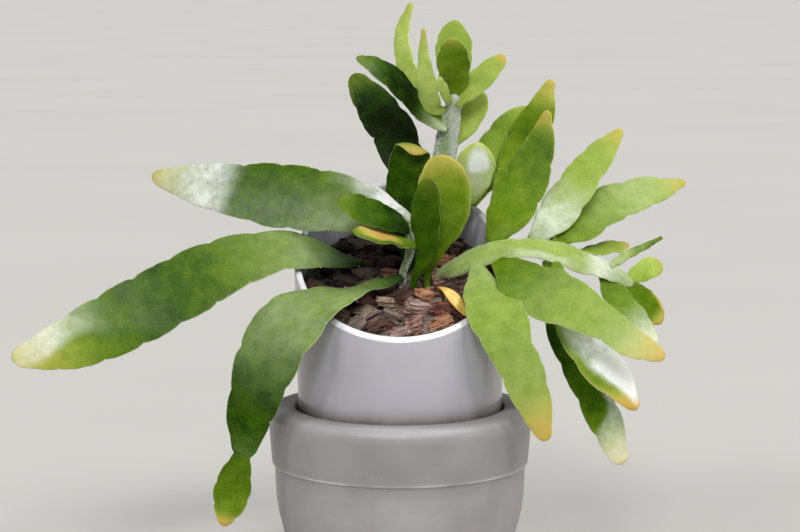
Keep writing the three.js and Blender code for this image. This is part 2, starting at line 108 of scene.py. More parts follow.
def add_node(material, kind, inputs=None, ramp=None, **settings):
    """Adds a shader node. Settings are properties or inputs, as nodes, sockets, values or hex colours."""
    tree = material.node_tree
    node = tree.nodes.new("ShaderNode" + kind)
    filled = dict(inputs or {})
    for name, value in settings.items():
        if hasattr(node, name):
            setattr(node, name, value)
        else:
            filled[name.replace("_", " ")] = value
    open_inputs = {socket.name: socket for socket in reversed(node.inputs) if socket.enabled}
    for name, value in filled.items():
        socket = node.inputs[name] if isinstance(name, int) else open_inputs[name]
        if isinstance(value, bpy.types.Node):
            value = next(output for output in value.outputs if output.enabled)
        if isinstance(value, bpy.types.NodeSocket):
            tree.links.new(value, socket)
        else:
            socket.default_value = color(value) if isinstance(value, str) else value
    if ramp:
        stops = node.color_ramp.elements
        while len(stops) < len(ramp):
            stops.new(0.5)
        for stop, (position, hex_code) in zip(stops, ramp):
            stop.position = position
            stop.color = color(hex_code)
    return node


def new_material(name):
    """An empty material, and the place on the object for its textures to read"""
    material = bpy.data.materials.new(name)
    material.use_nodes = True
    material.node_tree.nodes.clear()
    return material, add_node(material, "TexCoord").outputs["Object"]


def per(size):
    """A texture's scale that makes its features this many millimetres large"""
    return 1 / (size * MM)


def surface(material, inputs, **settings):
    """The material, with a Principled shader as its end"""
    shader = add_node(material, "BsdfPrincipled", inputs, **settings)
    add_node(material, "OutputMaterial", {"Surface": shader})
    return material


print("a texture with forms 1 mm large has a scale of", round(per(1)))

# %% [markdown]
# ## Light
# A studio lights a glossy plant with large soft boxes, whose size softens the edges of every shadow and
# sheen. Boxes that stand near would light the floor round the plant more than the floor behind it.
# Sun lamps with a wide angle are soft boxes that stand far away, so the whole floor is lit evenly. The
# main one stands over the camera, one on each side of it lights the pads that are turned away, and a
# wide one above lights the margins. Each is given by the direction it shines from, as a turn to the
# right of the camera and a height, both in degrees.

# %% Light
LIGHTS = {
    # name: (turn, height, width in degrees, strength in watts a square metre)
    "main_soft_box": (-3, 36, 14, 1.2),
    "left_soft_box": (-37, 38, 12, 0.7),
    "right_soft_box": (37, 42, 14, 0.8),
    "top_soft_box": (95, 62, 35, 1.9),
}


def add_soft_box(name, turn, height, width, strength):
    data = bpy.data.lights.new(name, "SUN")
    data.angle = math.radians(width)
    data.energy = strength
    light = bpy.data.objects.new(name, data)
    bpy.context.scene.collection.objects.link(light)
    flat = math.cos(math.radians(height))
    where = Vector((flat * math.sin(math.radians(turn)), -flat * math.cos(math.radians(turn)),
                    math.sin(math.radians(height))))
    light.rotation_euler = where.to_track_quat("Z", "Y").to_euler()


for name, setting in LIGHTS.items():
    add_soft_box(name, *setting)
print("soft boxes:", len(LIGHTS))

# %% [markdown]
# ## From a bmesh to a piece
# Each piece is modelled in a bmesh and becomes an object whose place is in its mesh. It rides on the
# body that holds it and takes over from the plain solid that held its place.

# %% Pieces


def new_object(name, bm, material):
    mesh = bpy.data.meshes.new(name)
    bm.to_mesh(mesh)
    bm.free()
    mesh.materials.append(material)
    made = bpy.data.objects.new(name, mesh)
    bpy.context.scene.collection.objects.link(made)
    return made


def make_piece(name, bm, material, slot, replaced=None, sharp=None):
    """Makes a smooth piece, whose edges above an angle in degrees stay sharp."""
    piece = new_object(name, bm, material)
    mesh = piece.data
    mesh.shade_smooth()
    if sharp:
        mesh.set_sharp_from_angle(angle=math.radians(sharp))
    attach(piece, "root")
    if replaced:
        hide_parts(replaced)
    triangles = sum(len(polygon.vertices) - 2 for polygon in mesh.polygons)
    low, high = (Vector(f(v.co[i] for v in mesh.vertices) for i in range(3)) for f in (min, max))
    size = " x ".join(f"{value / MM:.0f}" for value in high - low)
    print(f"{name}: {triangles} triangles, {size} mm")

# %% [markdown]
# ## The cover pot's shape
# The cover pot is turned: a belly that is part of an ellipse, a wider band with a step under it, and a
# rounded shoulder that runs into a flat ledge round the mouth. A turned shape could be lofted from
# circles or made from a cylinder with loops. Spinning one outline is the shortest way, and the outline
# holds all the sizes.

# %% Cover pot sizes
SPIN_STEPS = 144
SAME_PLACE = 0.001 * MM
COVER = {
    "foot_radius": 32,
    "belly_radius": 55.4,
    "belly_height": 54,
    "belly_drop": 66,
    "band_bottom": 61.5,
    "band_bottom_radius": 56.8,
    "band_top_radius": 58.4,
    "step": 1.6,
    "step_rounding": 0.7,
    "shoulder": 4.4,
    "ledge": 86,
    "mouth_radius": 46.2,
    "mouth_rounding": 1,
    "collar": 5,
    "wall": 3,
    "floor": 4,
}
# Heights at which the outline is given along the curve of the belly, outside and inside
BELLY_OUTSIDE = [2, 4, 8, 12, 18, 24, 31, 38, 46, COVER["belly_height"]]
BELLY_INSIDE = [COVER["belly_height"], 46, 38, 28, 20, 12, 7, COVER["floor"]]
print("cover pot:", 2 * COVER["band_top_radius"], "mm wide,", COVER["ledge"], "mm tall")

# %% Cover pot outline


def arc(radius, height, size, start, end, steps=8):
    """Points of an arc round (radius, height), from one angle to another in degrees"""
    angles = [math.radians(start + (end - start) * i / steps) for i in range(steps + 1)]
    return [(radius + size * math.cos(angle), height + size * math.sin(angle)) for angle in angles]


def belly_radius(height):
    share = (height - COVER["belly_height"]) / COVER["belly_drop"]
    return COVER["belly_radius"] * math.sqrt(1 - share * share)


def spin_outline(outline, closed=False):
    """Spins (radius, height) points in millimetres round the Z axis and closes the poles."""
    bm = bmesh.new()
    verts = [bm.verts.new((radius * MM, 0, height * MM)) for radius, height in outline]
    pairs = list(zip(verts, verts[1:]))
    if closed:
        pairs.append((verts[-1], verts[0]))
    edges = [bm.edges.new(pair) for pair in pairs]
    bmesh.ops.spin(
        bm, geom=verts + edges, cent=(0, 0, 0), axis=(0, 0, 1), angle=2 * math.pi,
        steps=SPIN_STEPS, use_merge=True,
    )
    bmesh.ops.remove_doubles(bm, verts=bm.verts, dist=SAME_PLACE)
    bmesh.ops.recalc_face_normals(bm, faces=bm.faces)
    return bm


def cover_outline():
    c = COVER
    shoulder_radius = c["band_top_radius"] - c["shoulder"]
    shoulder_height = c["ledge"] - c["shoulder"]
    rounding = c["mouth_rounding"]
    step = c["step_rounding"]
    return [
        (0, 0),
        (c["foot_radius"], 0),
        *[(belly_radius(height), height) for height in BELLY_OUTSIDE],
        (c["belly_radius"], c["band_bottom"] - c["step"]),
        *arc(c["band_bottom_radius"] - step, c["band_bottom"], step, -90, 0, 5),
        *arc(shoulder_radius, shoulder_height, c["shoulder"], 0, 90, 12),
        *arc(c["mouth_radius"] + rounding, c["ledge"] - rounding, rounding, 90, 180, 5),
        (c["mouth_radius"], c["ledge"] - c["collar"]),
        (c["belly_radius"] - c["wall"], c["ledge"] - 2 * c["collar"]),
        *[(belly_radius(height) - c["wall"], height) for height in BELLY_INSIDE],
        (0, c["floor"]),
    ]


cover_bm = spin_outline(cover_outline())
print("cover pot faces:", len(cover_bm.faces))

# %% [markdown]
# ## The cover pot's finish
# It is opaque white polypropylene, moulded with a fine satin grain. Such a surface spreads a highlight
# into a wide soft glow. The band is a little greyer than the rest, and a thin painted highlight runs
# along its lower edge, broken in places. Water that stood on the ledge has left brown dirt, and against
# the inner pot it is darkest, which is painted shade in the crease. There are a few pale scuffs.

# %% Satin moulded polypropylene


def satin_polypropylene():
    material, place = new_material("satin_moulded_polypropylene")
    blotches = add_node(material, "TexNoise", {"Vector": place}, Scale=per(28), Detail=4)
    base = add_node(material, "ValToRGB", {"Fac": blotches}, ramp=[(0.35, "#9c999b"), (0.65, "#a9a6a8")])
    height = add_node(material, "SeparateXYZ", {"Vector": place})
    # The band is a little greyer than the belly below it and the shoulder above it.
    level = add_node(
        material, "MapRange", {"Value": height.outputs["Z"]}, From_Min=50 * MM, From_Max=90 * MM,
    )
    band_tint = add_node(
        material, "ValToRGB", {"Fac": level},
        ramp=[(0.26, "#f6f6f6"), (0.33, "#e6e6e6"), (0.72, "#e6e6e6"), (0.86, "#ffffff")],
    )
    band_tinted = add_node(
        material, "Mix", {"A": base, "B": band_tint}, data_type="RGBA", blend_type="MULTIPLY", Factor=1,
    )
    # Painted highlight: a thin pale line along the band's lower edge, broken into patches.
    edge = add_node(
        material, "ValToRGB", {"Fac": level},
        ramp=[(0.262, "#000000"), (0.275, "#ffffff"), (0.29, "#ffffff"), (0.302, "#000000")],
    )
    highlight_patches = add_node(material, "MapRange", {"Value": blotches}, From_Min=0.3, From_Max=0.6, To_Max=0.8)
    edge_share = add_node(material, "Math", {0: edge, 1: highlight_patches}, operation="MULTIPLY")
    edged = add_node(material, "Mix", {"Factor": edge_share, "A": band_tinted}, data_type="RGBA", B="#c9c7c8")
    # The dirt lies where the inner pot's wall meets the ledge and darkens there as painted shade in the
    # crease, so it follows the distance from the axis.
    flat = add_node(material, "VectorMath", {0: place, 1: (1, 1, 0)}, operation="MULTIPLY")
    radius = add_node(material, "VectorMath", {"Vector": flat}, operation="LENGTH")
    ring = add_node(
        material, "MapRange", {"Value": radius.outputs["Value"]}, From_Min=51.5 * MM, From_Max=45.8 * MM,
    )
    on_ledge = add_node(
        material, "MapRange", {"Value": height.outputs["Z"]}, From_Min=84 * MM, From_Max=85.8 * MM,
    )
    grime = add_node(material, "TexNoise", {"Vector": place}, Scale=per(10), Detail=4)
    grime_share = add_node(
        material, "MapRange", {"Value": grime}, From_Min=0.3, From_Max=0.7, To_Min=0.4, To_Max=0.85,
    )
    inner_ring = add_node(material, "Math", {0: ring, 1: 1.8}, operation="POWER")
    crease_dirt_and_shade = add_node(material, "Math", {0: inner_ring, 1: on_ledge}, operation="MULTIPLY")
    spotted = add_node(material, "Math", {0: crease_dirt_and_shade, 1: grime_share}, operation="MULTIPLY")
    soiled_and_shaded = add_node(material, "Mix", {"Factor": spotted, "A": edged}, data_type="RGBA", B="#6f6252")
    # Scuffs are the peaks of a noise that is stretched into streaks about 0.6 mm wide.
    stretched = add_node(
        material, "Mapping", {"Vector": place}, Rotation=(0.5, 0.7, 0.3), Scale=(1, 0.05, 1),
    )
    lines = add_node(material, "TexNoise", {"Vector": stretched}, Scale=per(1.2), Detail=2)
    scuff = add_node(material, "MapRange", {"Value": lines}, From_Min=0.74, From_Max=0.8, To_Max=0.7)
    scuffed = add_node(material, "Mix", {"Factor": scuff, "A": soiled_and_shaded}, data_type="RGBA", B="#dedcdb")
    grain = add_node(material, "TexNoise", {"Vector": place}, Scale=per(0.7), Detail=3)
    swell = add_node(material, "TexNoise", {"Vector": place}, Scale=per(22), Detail=1)
    relief = add_node(material, "Bump", {"Height": grain}, Strength=0.12, Distance=0.05 * MM)
    gentle = add_node(
        material, "Bump", {"Height": swell, "Normal": relief}, Strength=0.25, Distance=0.5 * MM,
    )
    gloss = add_node(material, "MapRange", {"Value": blotches}, To_Min=0.36, To_Max=0.5)
    return surface(
        material, {"Base Color": scuffed, "Roughness": gloss, "Normal": gentle}, IOR=1.49,
        Subsurface_Weight=0.08, Subsurface_Scale=2 * MM,
    )


make_piece("cover_pot", cover_bm, satin_polypropylene(), "cover_pot", "outer_pot", sharp=50)

# %% [markdown]
# ## The inner pot's shape
# This pot is turned too, and its mouth is cut on a slant: low in front, so that the bark shows, and high
# behind. The outline is spun straight, and then a formula raises the back and drops the front, from
# nothing a little above the ledge to the full slope at the rim.

# %% Inner pot sizes
GAP = 0.3
POT = {
    "floor": 3,
    "foot_radius": 29,
    "foot_rounding": 1.5,
    "ledge_radius": 45.2,
    "rim_radius": 46.5,
    "rim_height": 152,
    "rim_slope": 0.647,
    "slope_start": 92,
    "wall": 3,
    "drain_radius": 6,
}
LOW_WALL = [30, 60]
HIGH_WALL = [COVER["ledge"], POT["slope_start"], 107, 122, 137]
print("inner pot:", 2 * POT["rim_radius"], "mm across its rim")

# %% Inner pot outline


def pot_radius(height):
    """Outer radius of the inner pot at a height, before its mouth is slanted"""
    foot = COVER["floor"] + GAP
    if height < COVER["ledge"]:
        share = (height - foot) / (COVER["ledge"] - foot)
        return POT["foot_radius"] + (POT["ledge_radius"] - POT["foot_radius"]) * share
    share = (height - COVER["ledge"]) / (POT["rim_height"] - COVER["ledge"])
    return POT["ledge_radius"] + (POT["rim_radius"] - POT["ledge_radius"]) * share


def slant(bm, slope, start, end):
    """Raises the back and drops the front, from nothing at start to the full slope at end."""
    for vert in bm.verts:
        share = min(max((vert.co.z / MM - start) / (end - start), 0), 1)
        vert.co.z += slope * share * vert.co.y


def inner_outline():
    foot = COVER["floor"] + GAP
    floor = foot + POT["floor"]
    lip = POT["wall"] / 2
    lip_height = POT["rim_height"] - lip
    walls = [*LOW_WALL, *HIGH_WALL]
    rounding = POT["foot_rounding"]
    return [
        (POT["drain_radius"], foot),
        *arc(POT["foot_radius"] - rounding, foot + rounding, rounding, -90, 0, 4),
        *[(pot_radius(height), height) for height in walls],
        *arc(pot_radius(lip_height) - lip, lip_height, lip, 0, 180, 12),
        *[(pot_radius(height) - POT["wall"], height) for height in (*reversed(walls), floor)],
        (POT["drain_radius"], floor),
    ]


inner_bm = spin_outline(inner_outline(), closed=True)
slant(inner_bm, POT["rim_slope"], POT["slope_start"], POT["rim_height"])
print("inner pot faces:", len(inner_bm.faces))

# %% [markdown]
# ## The inner pot's finish
# Stoneware dipped in a clear gloss over white slip. Glaze is glass, so it mirrors the soft boxes much
# more sharply than the plastic does, and it pools a little, which bends what it mirrors. The rounded
# lip is painted whiter, a painted highlight. Over the lowest part, next to the ledge, the wall darkens
# to brown: dirt from watering, and painted shade where the pot meets the ledge.

# %% Glossy white glaze


def white_glaze():
    material, place = new_material("glossy_white_stoneware_glaze")
    height = add_node(material, "SeparateXYZ", {"Vector": place})
    clouds = add_node(material, "TexNoise", {"Vector": place}, Scale=per(35), Detail=3)
    base = add_node(material, "ValToRGB", {"Fac": clouds}, ramp=[(0.3, "#a9a7af"), (0.7, "#b5b4bb")])
    # The lip is found by its height, less the slant of the mouth, and is whitened as a painted highlight.
    lip = add_node(
        material, "Math",
        {0: height.outputs["Y"], 1: -POT["rim_slope"], 2: height.outputs["Z"]}, operation="MULTIPLY_ADD",
    )
    lip_highlight_share = add_node(material, "MapRange", {"Value": lip}, From_Min=151 * MM, From_Max=151.6 * MM)
    lip_highlighted = add_node(material, "Mix", {"Factor": lip_highlight_share, "A": base}, data_type="RGBA", B="#e6e4e8")
    # Dirt and painted shade: the wall darkens to brown towards the ledge, in splashes.
    low = add_node(
        material, "MapRange", {"Value": height.outputs["Z"]}, From_Min=97 * MM, From_Max=86.4 * MM,
    )
    lowest = add_node(material, "Math", {0: low, 1: 2.5}, operation="POWER")
    splashes = add_node(material, "TexNoise", {"Vector": place}, Scale=per(14), Detail=5)
    splash_share = add_node(
        material, "MapRange", {"Value": splashes}, From_Min=0.3, From_Max=0.7, To_Min=0.5, To_Max=0.85,
    )
    dirt_and_shade = add_node(material, "Math", {0: lowest, 1: splash_share}, operation="MULTIPLY")
    soiled_and_shaded = add_node(material, "Mix", {"Factor": dirt_and_shade, "A": lip_highlighted}, data_type="RGBA", B="#6e5f50")
    pooling = add_node(material, "TexNoise", {"Vector": place}, Scale=per(16), Detail=1)
    relief = add_node(material, "Bump", {"Height": pooling}, Strength=0.3, Distance=0.12 * MM)
    gloss = add_node(material, "MapRange", {"Value": splashes}, To_Min=0.1, To_Max=0.24)
    return surface(material, {"Base Color": soiled_and_shaded, "Roughness": gloss, "Normal": relief}, IOR=1.52)


make_piece("glazed_pot", inner_bm, white_glaze(), "glazed_pot", "inner_pot", sharp=50)

# %% [markdown]
# ## Bark chips
# The plant grows in pine bark, broken into angular chips 11 to 15 mm long. Their broken sides show thin
# layers like the pages of a book. Each chip starts as a cube whose corners are pushed about. It is cut
# finely enough to draw each layer in by its own amount and to roughen it with noise, and is then
# turned and half sunk in the surface of the mix. Small crumbs fill the gaps between the chips.
# The chips lie on a spiral with the golden angle between them, which covers a disc evenly without rows.

# %% Sizes of the bark mix
MIX = {
    "centre_height": 139,
    "slope": 0.5,
    "chips": 44,
    "half_length": (5.4, 7.6),
    "half_width": (3.8, 5.4),
    "half_height": (2.4, 3.6),
    "corner_push": 0.45,
    "tilt": 0.9,
    "rise": 1.6,
    "spread": 38,
    "seed": 11,
}
CHIP_CUTS = 9
CHIP_ROUNDING = 0.12
CORNERS = [
    (1, 1, 1), (1, 1, -1), (1, -1, 1), (1, -1, -1), (-1, 1, -1), (-1, 1, 1), (-1, -1, -1), (-1, -1, 1),
]
# A layer is this thick, is warped by a share of that, and each block of it is drawn in by up to a share.
# The core, a share of the chip's half width, stays as it is, and the drawing in grows over the fade.
LAYER = {
    "thickness": 0.9, "warp": 0.35, "warp_length": 3, "block": 4, "draw": 0.13, "core": 0.3, "fade": 0.4,
}
# How wide and how high the rough forms on a chip are, and how their finer octaves weaken and shrink
ROUGH_FORMS = [(5, 0.55), (1.3, 0.16)]
ROUGH_OCTAVES = (0.8, 2.1, 4)
SHADE_STEP = 0.27
CRUMBS = {
    "count": 170,
    "half_sizes": [(0.9, 2.4), (0.7, 1.5), (0.5, 1.1)],
    "rise": (0.6, 3.4),
    "tilt": 1,
    "lumps": 0.35,
    "lump_scale": 1.7,
    "spread": MIX["spread"] + 3,
    "seed": 4,
}
GOLDEN_ANGLE = math.pi * (3 - math.sqrt(5))
# The plug's top is cut in rings, so that it can follow the slant smoothly.
TOP_RINGS = range(3, 43, 3)
PLUG_SHADE = 0.05
print("chips:", MIX["chips"], "crumbs:", CRUMBS["count"])

# %% The plug under the chips


def mix_height(y):
    return MIX["centre_height"] + MIX["slope"] * y


def inside_radius(height):
    return pot_radius(height) - POT["wall"] - 2 * GAP


def mix_plug():
    bottom = COVER["floor"] + GAP + POT["floor"] + GAP
    top = MIX["centre_height"]
    bm = spin_outline([
        (0, bottom),
        (inside_radius(bottom), bottom),
        (inside_radius(COVER["ledge"]), COVER["ledge"]),
        (inside_radius(POT["slope_start"]), POT["slope_start"]),
        (inside_radius(POT["rim_height"]), top),
        *[(radius, top) for radius in reversed(TOP_RINGS)],
        (0, top),
    ])
    slant(bm, MIX["slope"], POT["slope_start"], top)
    return bm


def keep_in_pot(vert):
    """Draws a vertex in to the pot's inner wall."""
    distance = math.hypot(vert.co.x, vert.co.y)
    limit = inside_radius(POT["rim_height"]) * MM
    if distance > limit:
        vert.co.x *= limit / distance
        vert.co.y *= limit / distance


bark_bm = mix_plug()
print("plug faces:", len(bark_bm.faces))

# %% Draws, roughness and layers


def seeded_draws(seed):
    """The same even draws from 0 to 1 on every run"""
    state = seed
    while True:
        state = (state * 1664525 + 1013904223) % 4294967296
        yield state / 4294967296


def roughen(verts, place, size, amount):
    """Pushes vertices along their normals by fractal noise read in the chip's own place."""
    moves = {}
    for vert in verts:
        where = vert[place] / size
        moves[vert] = vert.normal * noise.fractal(where, *ROUGH_OCTAVES) * amount
    for vert, move in moves.items():
        vert.co += move


def draw_in_layer(vert, index, half):
    """Draws the rim of each layer in by its own amount, block by block."""
    warp = noise.noise(vert.co / (LAYER["warp_length"] * MM))
    level = vert.co.z / (LAYER["thickness"] * MM) + LAYER["warp"] * warp
    edge = max(abs(vert.co.x) / (half[0] * MM), abs(vert.co.y) / (half[1] * MM))
    block = math.floor(vert.co.x / (LAYER["block"] * MM))
    ledge = noise.cell(Vector((math.floor(level), index, block)))
    shrink = 1 - LAYER["draw"] * ledge * min(max(edge - LAYER["core"], 0) / LAYER["fade"], 1)
    vert.co.x *= shrink
    vert.co.y *= shrink


print("first draw:", round(next(seeded_draws(MIX["seed"])), 3))

# %% One chip


def bark_chip(bm, place, shade, index, draws):
    """Shapes a chip at the origin and lays it on its place in the spiral."""
    cube = bmesh.ops.create_cube(bm, size=2)["verts"]
    pushes = {
        corner: Vector(value * (1 - MIX["corner_push"] * next(draws)) for value in corner)
        for corner in CORNERS
    }
    for vert in cube:
        vert.co = pushes[tuple(round(value) for value in vert.co)]
    half = [low + (high - low) * next(draws) for low, high in (
        MIX["half_length"], MIX["half_width"], MIX["half_height"])]
    turn_x = Matrix.Rotation((next(draws) - 0.5) * MIX["tilt"], 4, "X")
    turn_y = Matrix.Rotation((next(draws) - 0.5) * MIX["tilt"], 4, "Y")
    turn_z = Matrix.Rotation(next(draws) * math.tau, 4, "Z")
    distance = MIX["spread"] * math.sqrt((index + 0.5) / MIX["chips"])
    x = distance * math.cos(index * GOLDEN_ANGLE)
    y = distance * math.sin(index * GOLDEN_ANGLE)
    centre = Vector((x, y, mix_height(y) + MIX["rise"] * next(draws))) * MM
    edges = list({edge for vert in cube for edge in vert.link_edges})
    bmesh.ops.subdivide_edges(bm, edges=edges, cuts=CHIP_CUTS, use_grid_fill=True, smooth=CHIP_ROUNDING)
    verts = [vert for vert in bm.verts if not vert.tag]
    apart = Vector((index * 3.1, index * 1.7, index * 2.3)) * 10 * MM
    for vert in verts:
        vert.tag = True
        vert.co = Vector(value * size * MM for value, size in zip(vert.co, half))
        vert[place] = vert.co + apart
        vert[shade] = (index * SHADE_STEP) % 1
        draw_in_layer(vert, index, half)
    bm.normal_update()
    for size, amount in ROUGH_FORMS:
        roughen(verts, place, size * MM, amount * MM)
    turned = Matrix.Translation(centre) @ turn_z @ turn_y @ turn_x
    bmesh.ops.transform(bm, matrix=turned, verts=verts)
    for vert in verts:
        keep_in_pot(vert)


print("turn from chip to chip:", round(math.degrees(GOLDEN_ANGLE), 1), "degrees")

# %% One crumb


def bark_crumb(bm, place, shade, index, rng):
    """One of the small bits that fill the gaps between the chips"""
    crumb = bmesh.ops.create_icosphere(bm, subdivisions=1, radius=1)["verts"]
    distance = CRUMBS["spread"] * math.sqrt((index + 0.5) / CRUMBS["count"])
    angle = index * GOLDEN_ANGLE + 1
    x = distance * math.cos(angle)
    y = distance * math.sin(angle)
    sizes = Vector(rng.uniform(*limits) for limits in CRUMBS["half_sizes"]) * MM
    turn_z = Matrix.Rotation(rng.uniform(0, math.tau), 4, "Z")
    turned = turn_z @ Matrix.Rotation(rng.uniform(-CRUMBS["tilt"], CRUMBS["tilt"]), 4, "X")
    centre = Vector((x, y, mix_height(y) + rng.uniform(*CRUMBS["rise"]))) * MM
    for vert in crumb:
        where = vert.co * CRUMBS["lump_scale"] + Vector((index, 0, 0))
        vert.co *= 1 + CRUMBS["lumps"] * noise.noise(where)
        vert.co = Vector(a * b for a, b in zip(vert.co, sizes))
        vert[place] = vert.co + centre
        vert[shade] = rng.random()
        vert.tag = True
    bmesh.ops.transform(bm, matrix=Matrix.Translation(centre) @ turned, verts=crumb)
    for vert in crumb:
        keep_in_pot(vert)


print("longest half sizes of a crumb:", [high for low, high in CRUMBS["half_sizes"]], "mm")

# %% Bark mix


def lay_bark(bm):
    place = bm.verts.layers.float_vector.new("chip_place")
    shade = bm.verts.layers.float.new("chip_shade")
    for vert in bm.verts:
        vert.tag = True
        vert[place] = vert.co
        vert[shade] = PLUG_SHADE
    draws = seeded_draws(MIX["seed"])
    for index in range(MIX["chips"]):
        bark_chip(bm, place, shade, index, draws)
    rng = random.Random(CRUMBS["seed"])
    for index in range(CRUMBS["count"]):
        bark_crumb(bm, place, shade, index, rng)


lay_bark(bark_bm)
print("bark faces:", len(bark_bm.faces))

# %% [markdown]
# ## The bark's finish
# Dry pine bark is red-brown, mauve or grey from chip to chip, because some chips are fresh and some are
# weathered. Across a broken side the layers change from dark to pale every millimetre or so, and pale
# dust clings to them. Bark has hardly any gloss, and most in its dark resinous layers. Under the
# densest pads, at the back and on the left, the mix lies in shade, and that shade is painted: the
# colour there is darkened to nearly black.
# Each chip carries a number for its shade and its own coordinates, so that the layers turn with it.

# %% Pine bark
BARK_SHADES = [
    (0.0, "#85786f"), (0.12, "#a88078"), (0.25, "#c08a66"), (0.37, "#a3917f"), (0.5, "#5e3d31"),
    (0.62, "#bba097"), (0.75, "#8c5040"), (0.87, "#b09784"),
]


def pine_bark():
    material, in_pot = new_material("broken_pine_bark")
    place = add_node(material, "Attribute", attribute_name="chip_place").outputs["Vector"]
    shade = add_node(material, "Attribute", attribute_name="chip_shade").outputs["Fac"]
    chip = add_node(material, "ValToRGB", {"Fac": shade}, ramp=BARK_SHADES)
    chip.color_ramp.interpolation = "CONSTANT"
    grain_place = add_node(material, "Mapping", {"Vector": place}, Scale=(0.35, 1, 3.2))
    grain = add_node(
        material, "TexNoise", {"Vector": grain_place}, Scale=per(2.6), Detail=8, Roughness=0.68,
    )
    grain_color = add_node(
        material, "ValToRGB", {"Fac": grain}, ramp=[(0.33, "#3a2a25"), (0.46, "#a89c96"), (0.6, "#ffffff")],
    )
    layered = add_node(
        material, "Mix", {"A": chip, "B": grain_color}, data_type="RGBA",
        blend_type="MULTIPLY", Factor=0.85,
    )
    specks = add_node(material, "TexNoise", {"Vector": place}, Scale=per(0.8), Detail=5, Roughness=0.7)
    dust = add_node(material, "MapRange", {"Value": specks}, From_Min=0.6, From_Max=0.74, To_Max=0.75)
    dusted = add_node(material, "Mix", {"Factor": dust, "A": layered}, data_type="RGBA", B="#cdb8aa")
    # Painted shade: the mix at the back and on the left is darkened towards nearly black.
    to_shaded_side = add_node(material, "VectorMath", {0: in_pot, 1: (-0.8, 1, 0)}, operation="DOT_PRODUCT")
    painted_shade = add_node(
        material, "MapRange", {"Value": to_shaded_side.outputs["Value"]},
        From_Min=-12 * MM, From_Max=18 * MM, To_Max=0.85,
    )
    shade_painted = add_node(material, "Mix", {"Factor": painted_shade, "A": dusted}, data_type="RGBA", B="#15100e")
    fine = add_node(material, "Bump", {"Height": specks}, Strength=0.7, Distance=0.25 * MM)
    relief = add_node(material, "Bump", {"Height": grain, "Normal": fine}, Strength=0.9, Distance=0.5 * MM)
    gloss = add_node(
        material, "MapRange", {"Value": grain}, From_Min=0.3, From_Max=0.6, To_Min=0.5, To_Max=0.85,
    )
    return surface(material, {"Base Color": shade_painted, "Roughness": gloss, "Normal": relief}, IOR=1.45)


make_piece("bark_mix_chips", bark_bm, pine_bark(), "bark", "bark_mix", sharp=38)

# %% [markdown]
# ## How a pad is described
# A pad is a flat stem. It has a midline from root to tip, its widths at even steps along that line, and
# the ways its upper face looks. Its margins are scalloped: "lobe" is the length of one scallop and
# "notch" its depth. Lines and widths are mostly those of the plain model. The curl of the curled pad,
# the two front pads, the top of the crown's stem and a few roots are placed more finely here.
# More of the shape: "wave" is how many millimetres the margins rise and fall, "fringe" how ragged they
# are, "midrib" how high the rib stands, "grooves" how deep the two lines beside it are, and "camber"
# how far the margins stand up, as a share of half the width.
# The rest is finish, from root to tip: "tone" runs from 0, the deepest green, to 1, yellow-green,
# and it also holds painted shade and light: pads in shade have lower tones and pads that face the
# light higher ones; "flush" is how far the tip turns yellow and orange, from the share "flush_from" on;
# "rim" does the same for the margin; "scurf" is the silvery scale on old stems; and "bristles" is about
# how many fine hairs stand in a notch. "painted_sheen" is a painted highlight, a whitish patch with its
# middle at "patch_side", from -1 at one margin to 1 at the other, and "patch_width" to each side;
# "sunned" turns that same patch yellow; and "haze" is a fainter painted sheen, spread wide, that is
# densest at "haze_side".

# %% Kinds of pad
PAD = {
    "thickness": 2,
    "margin": 0.9,
    "root_thickness": 2.4,
    "thinning": 16,
    "lobe": 18,
    "notch": 1.2,
    "camber": 0.05,
    "tone": [0.55],
    "flush": 0.5,
    "flush_from": 0.7,
    "rim": 0,
    "sunned": [0],
    "scurf": [0],
    "haze": [0],
    "haze_side": 0,
    "painted_sheen": [0],
    "patch_side": [0],
    "patch_width": [1.4],
    "bristles": 1,
    "wave": 0.3,
    "midrib": 0.3,
    "grooves": 0,
    "fringe": 0.3,
    "faces": [(0, -1, 0)],
}
SMALL = {"lobe": 10, "notch": 0.6, "thickness": 1.7, "midrib": 0.2}
STALKED = {**SMALL, "thinning": 30, "bristles": 0}
STEM = {
    "lobe": 16, "notch": 0, "margin": 2.2, "thickness": 2.8, "root_thickness": 2.8, "flush": 0,
    "wave": 0, "midrib": 0, "bristles": 0,
}
print("what a pad's description can say:", ", ".join(PAD))

# %% [markdown]
# ## The left shoot
# A grey stem carries two long pads, one that reaches to the left and one that hangs down in front, and
# two small ones. Points are in millimetres, and the first line of every shoot starts in the bark.

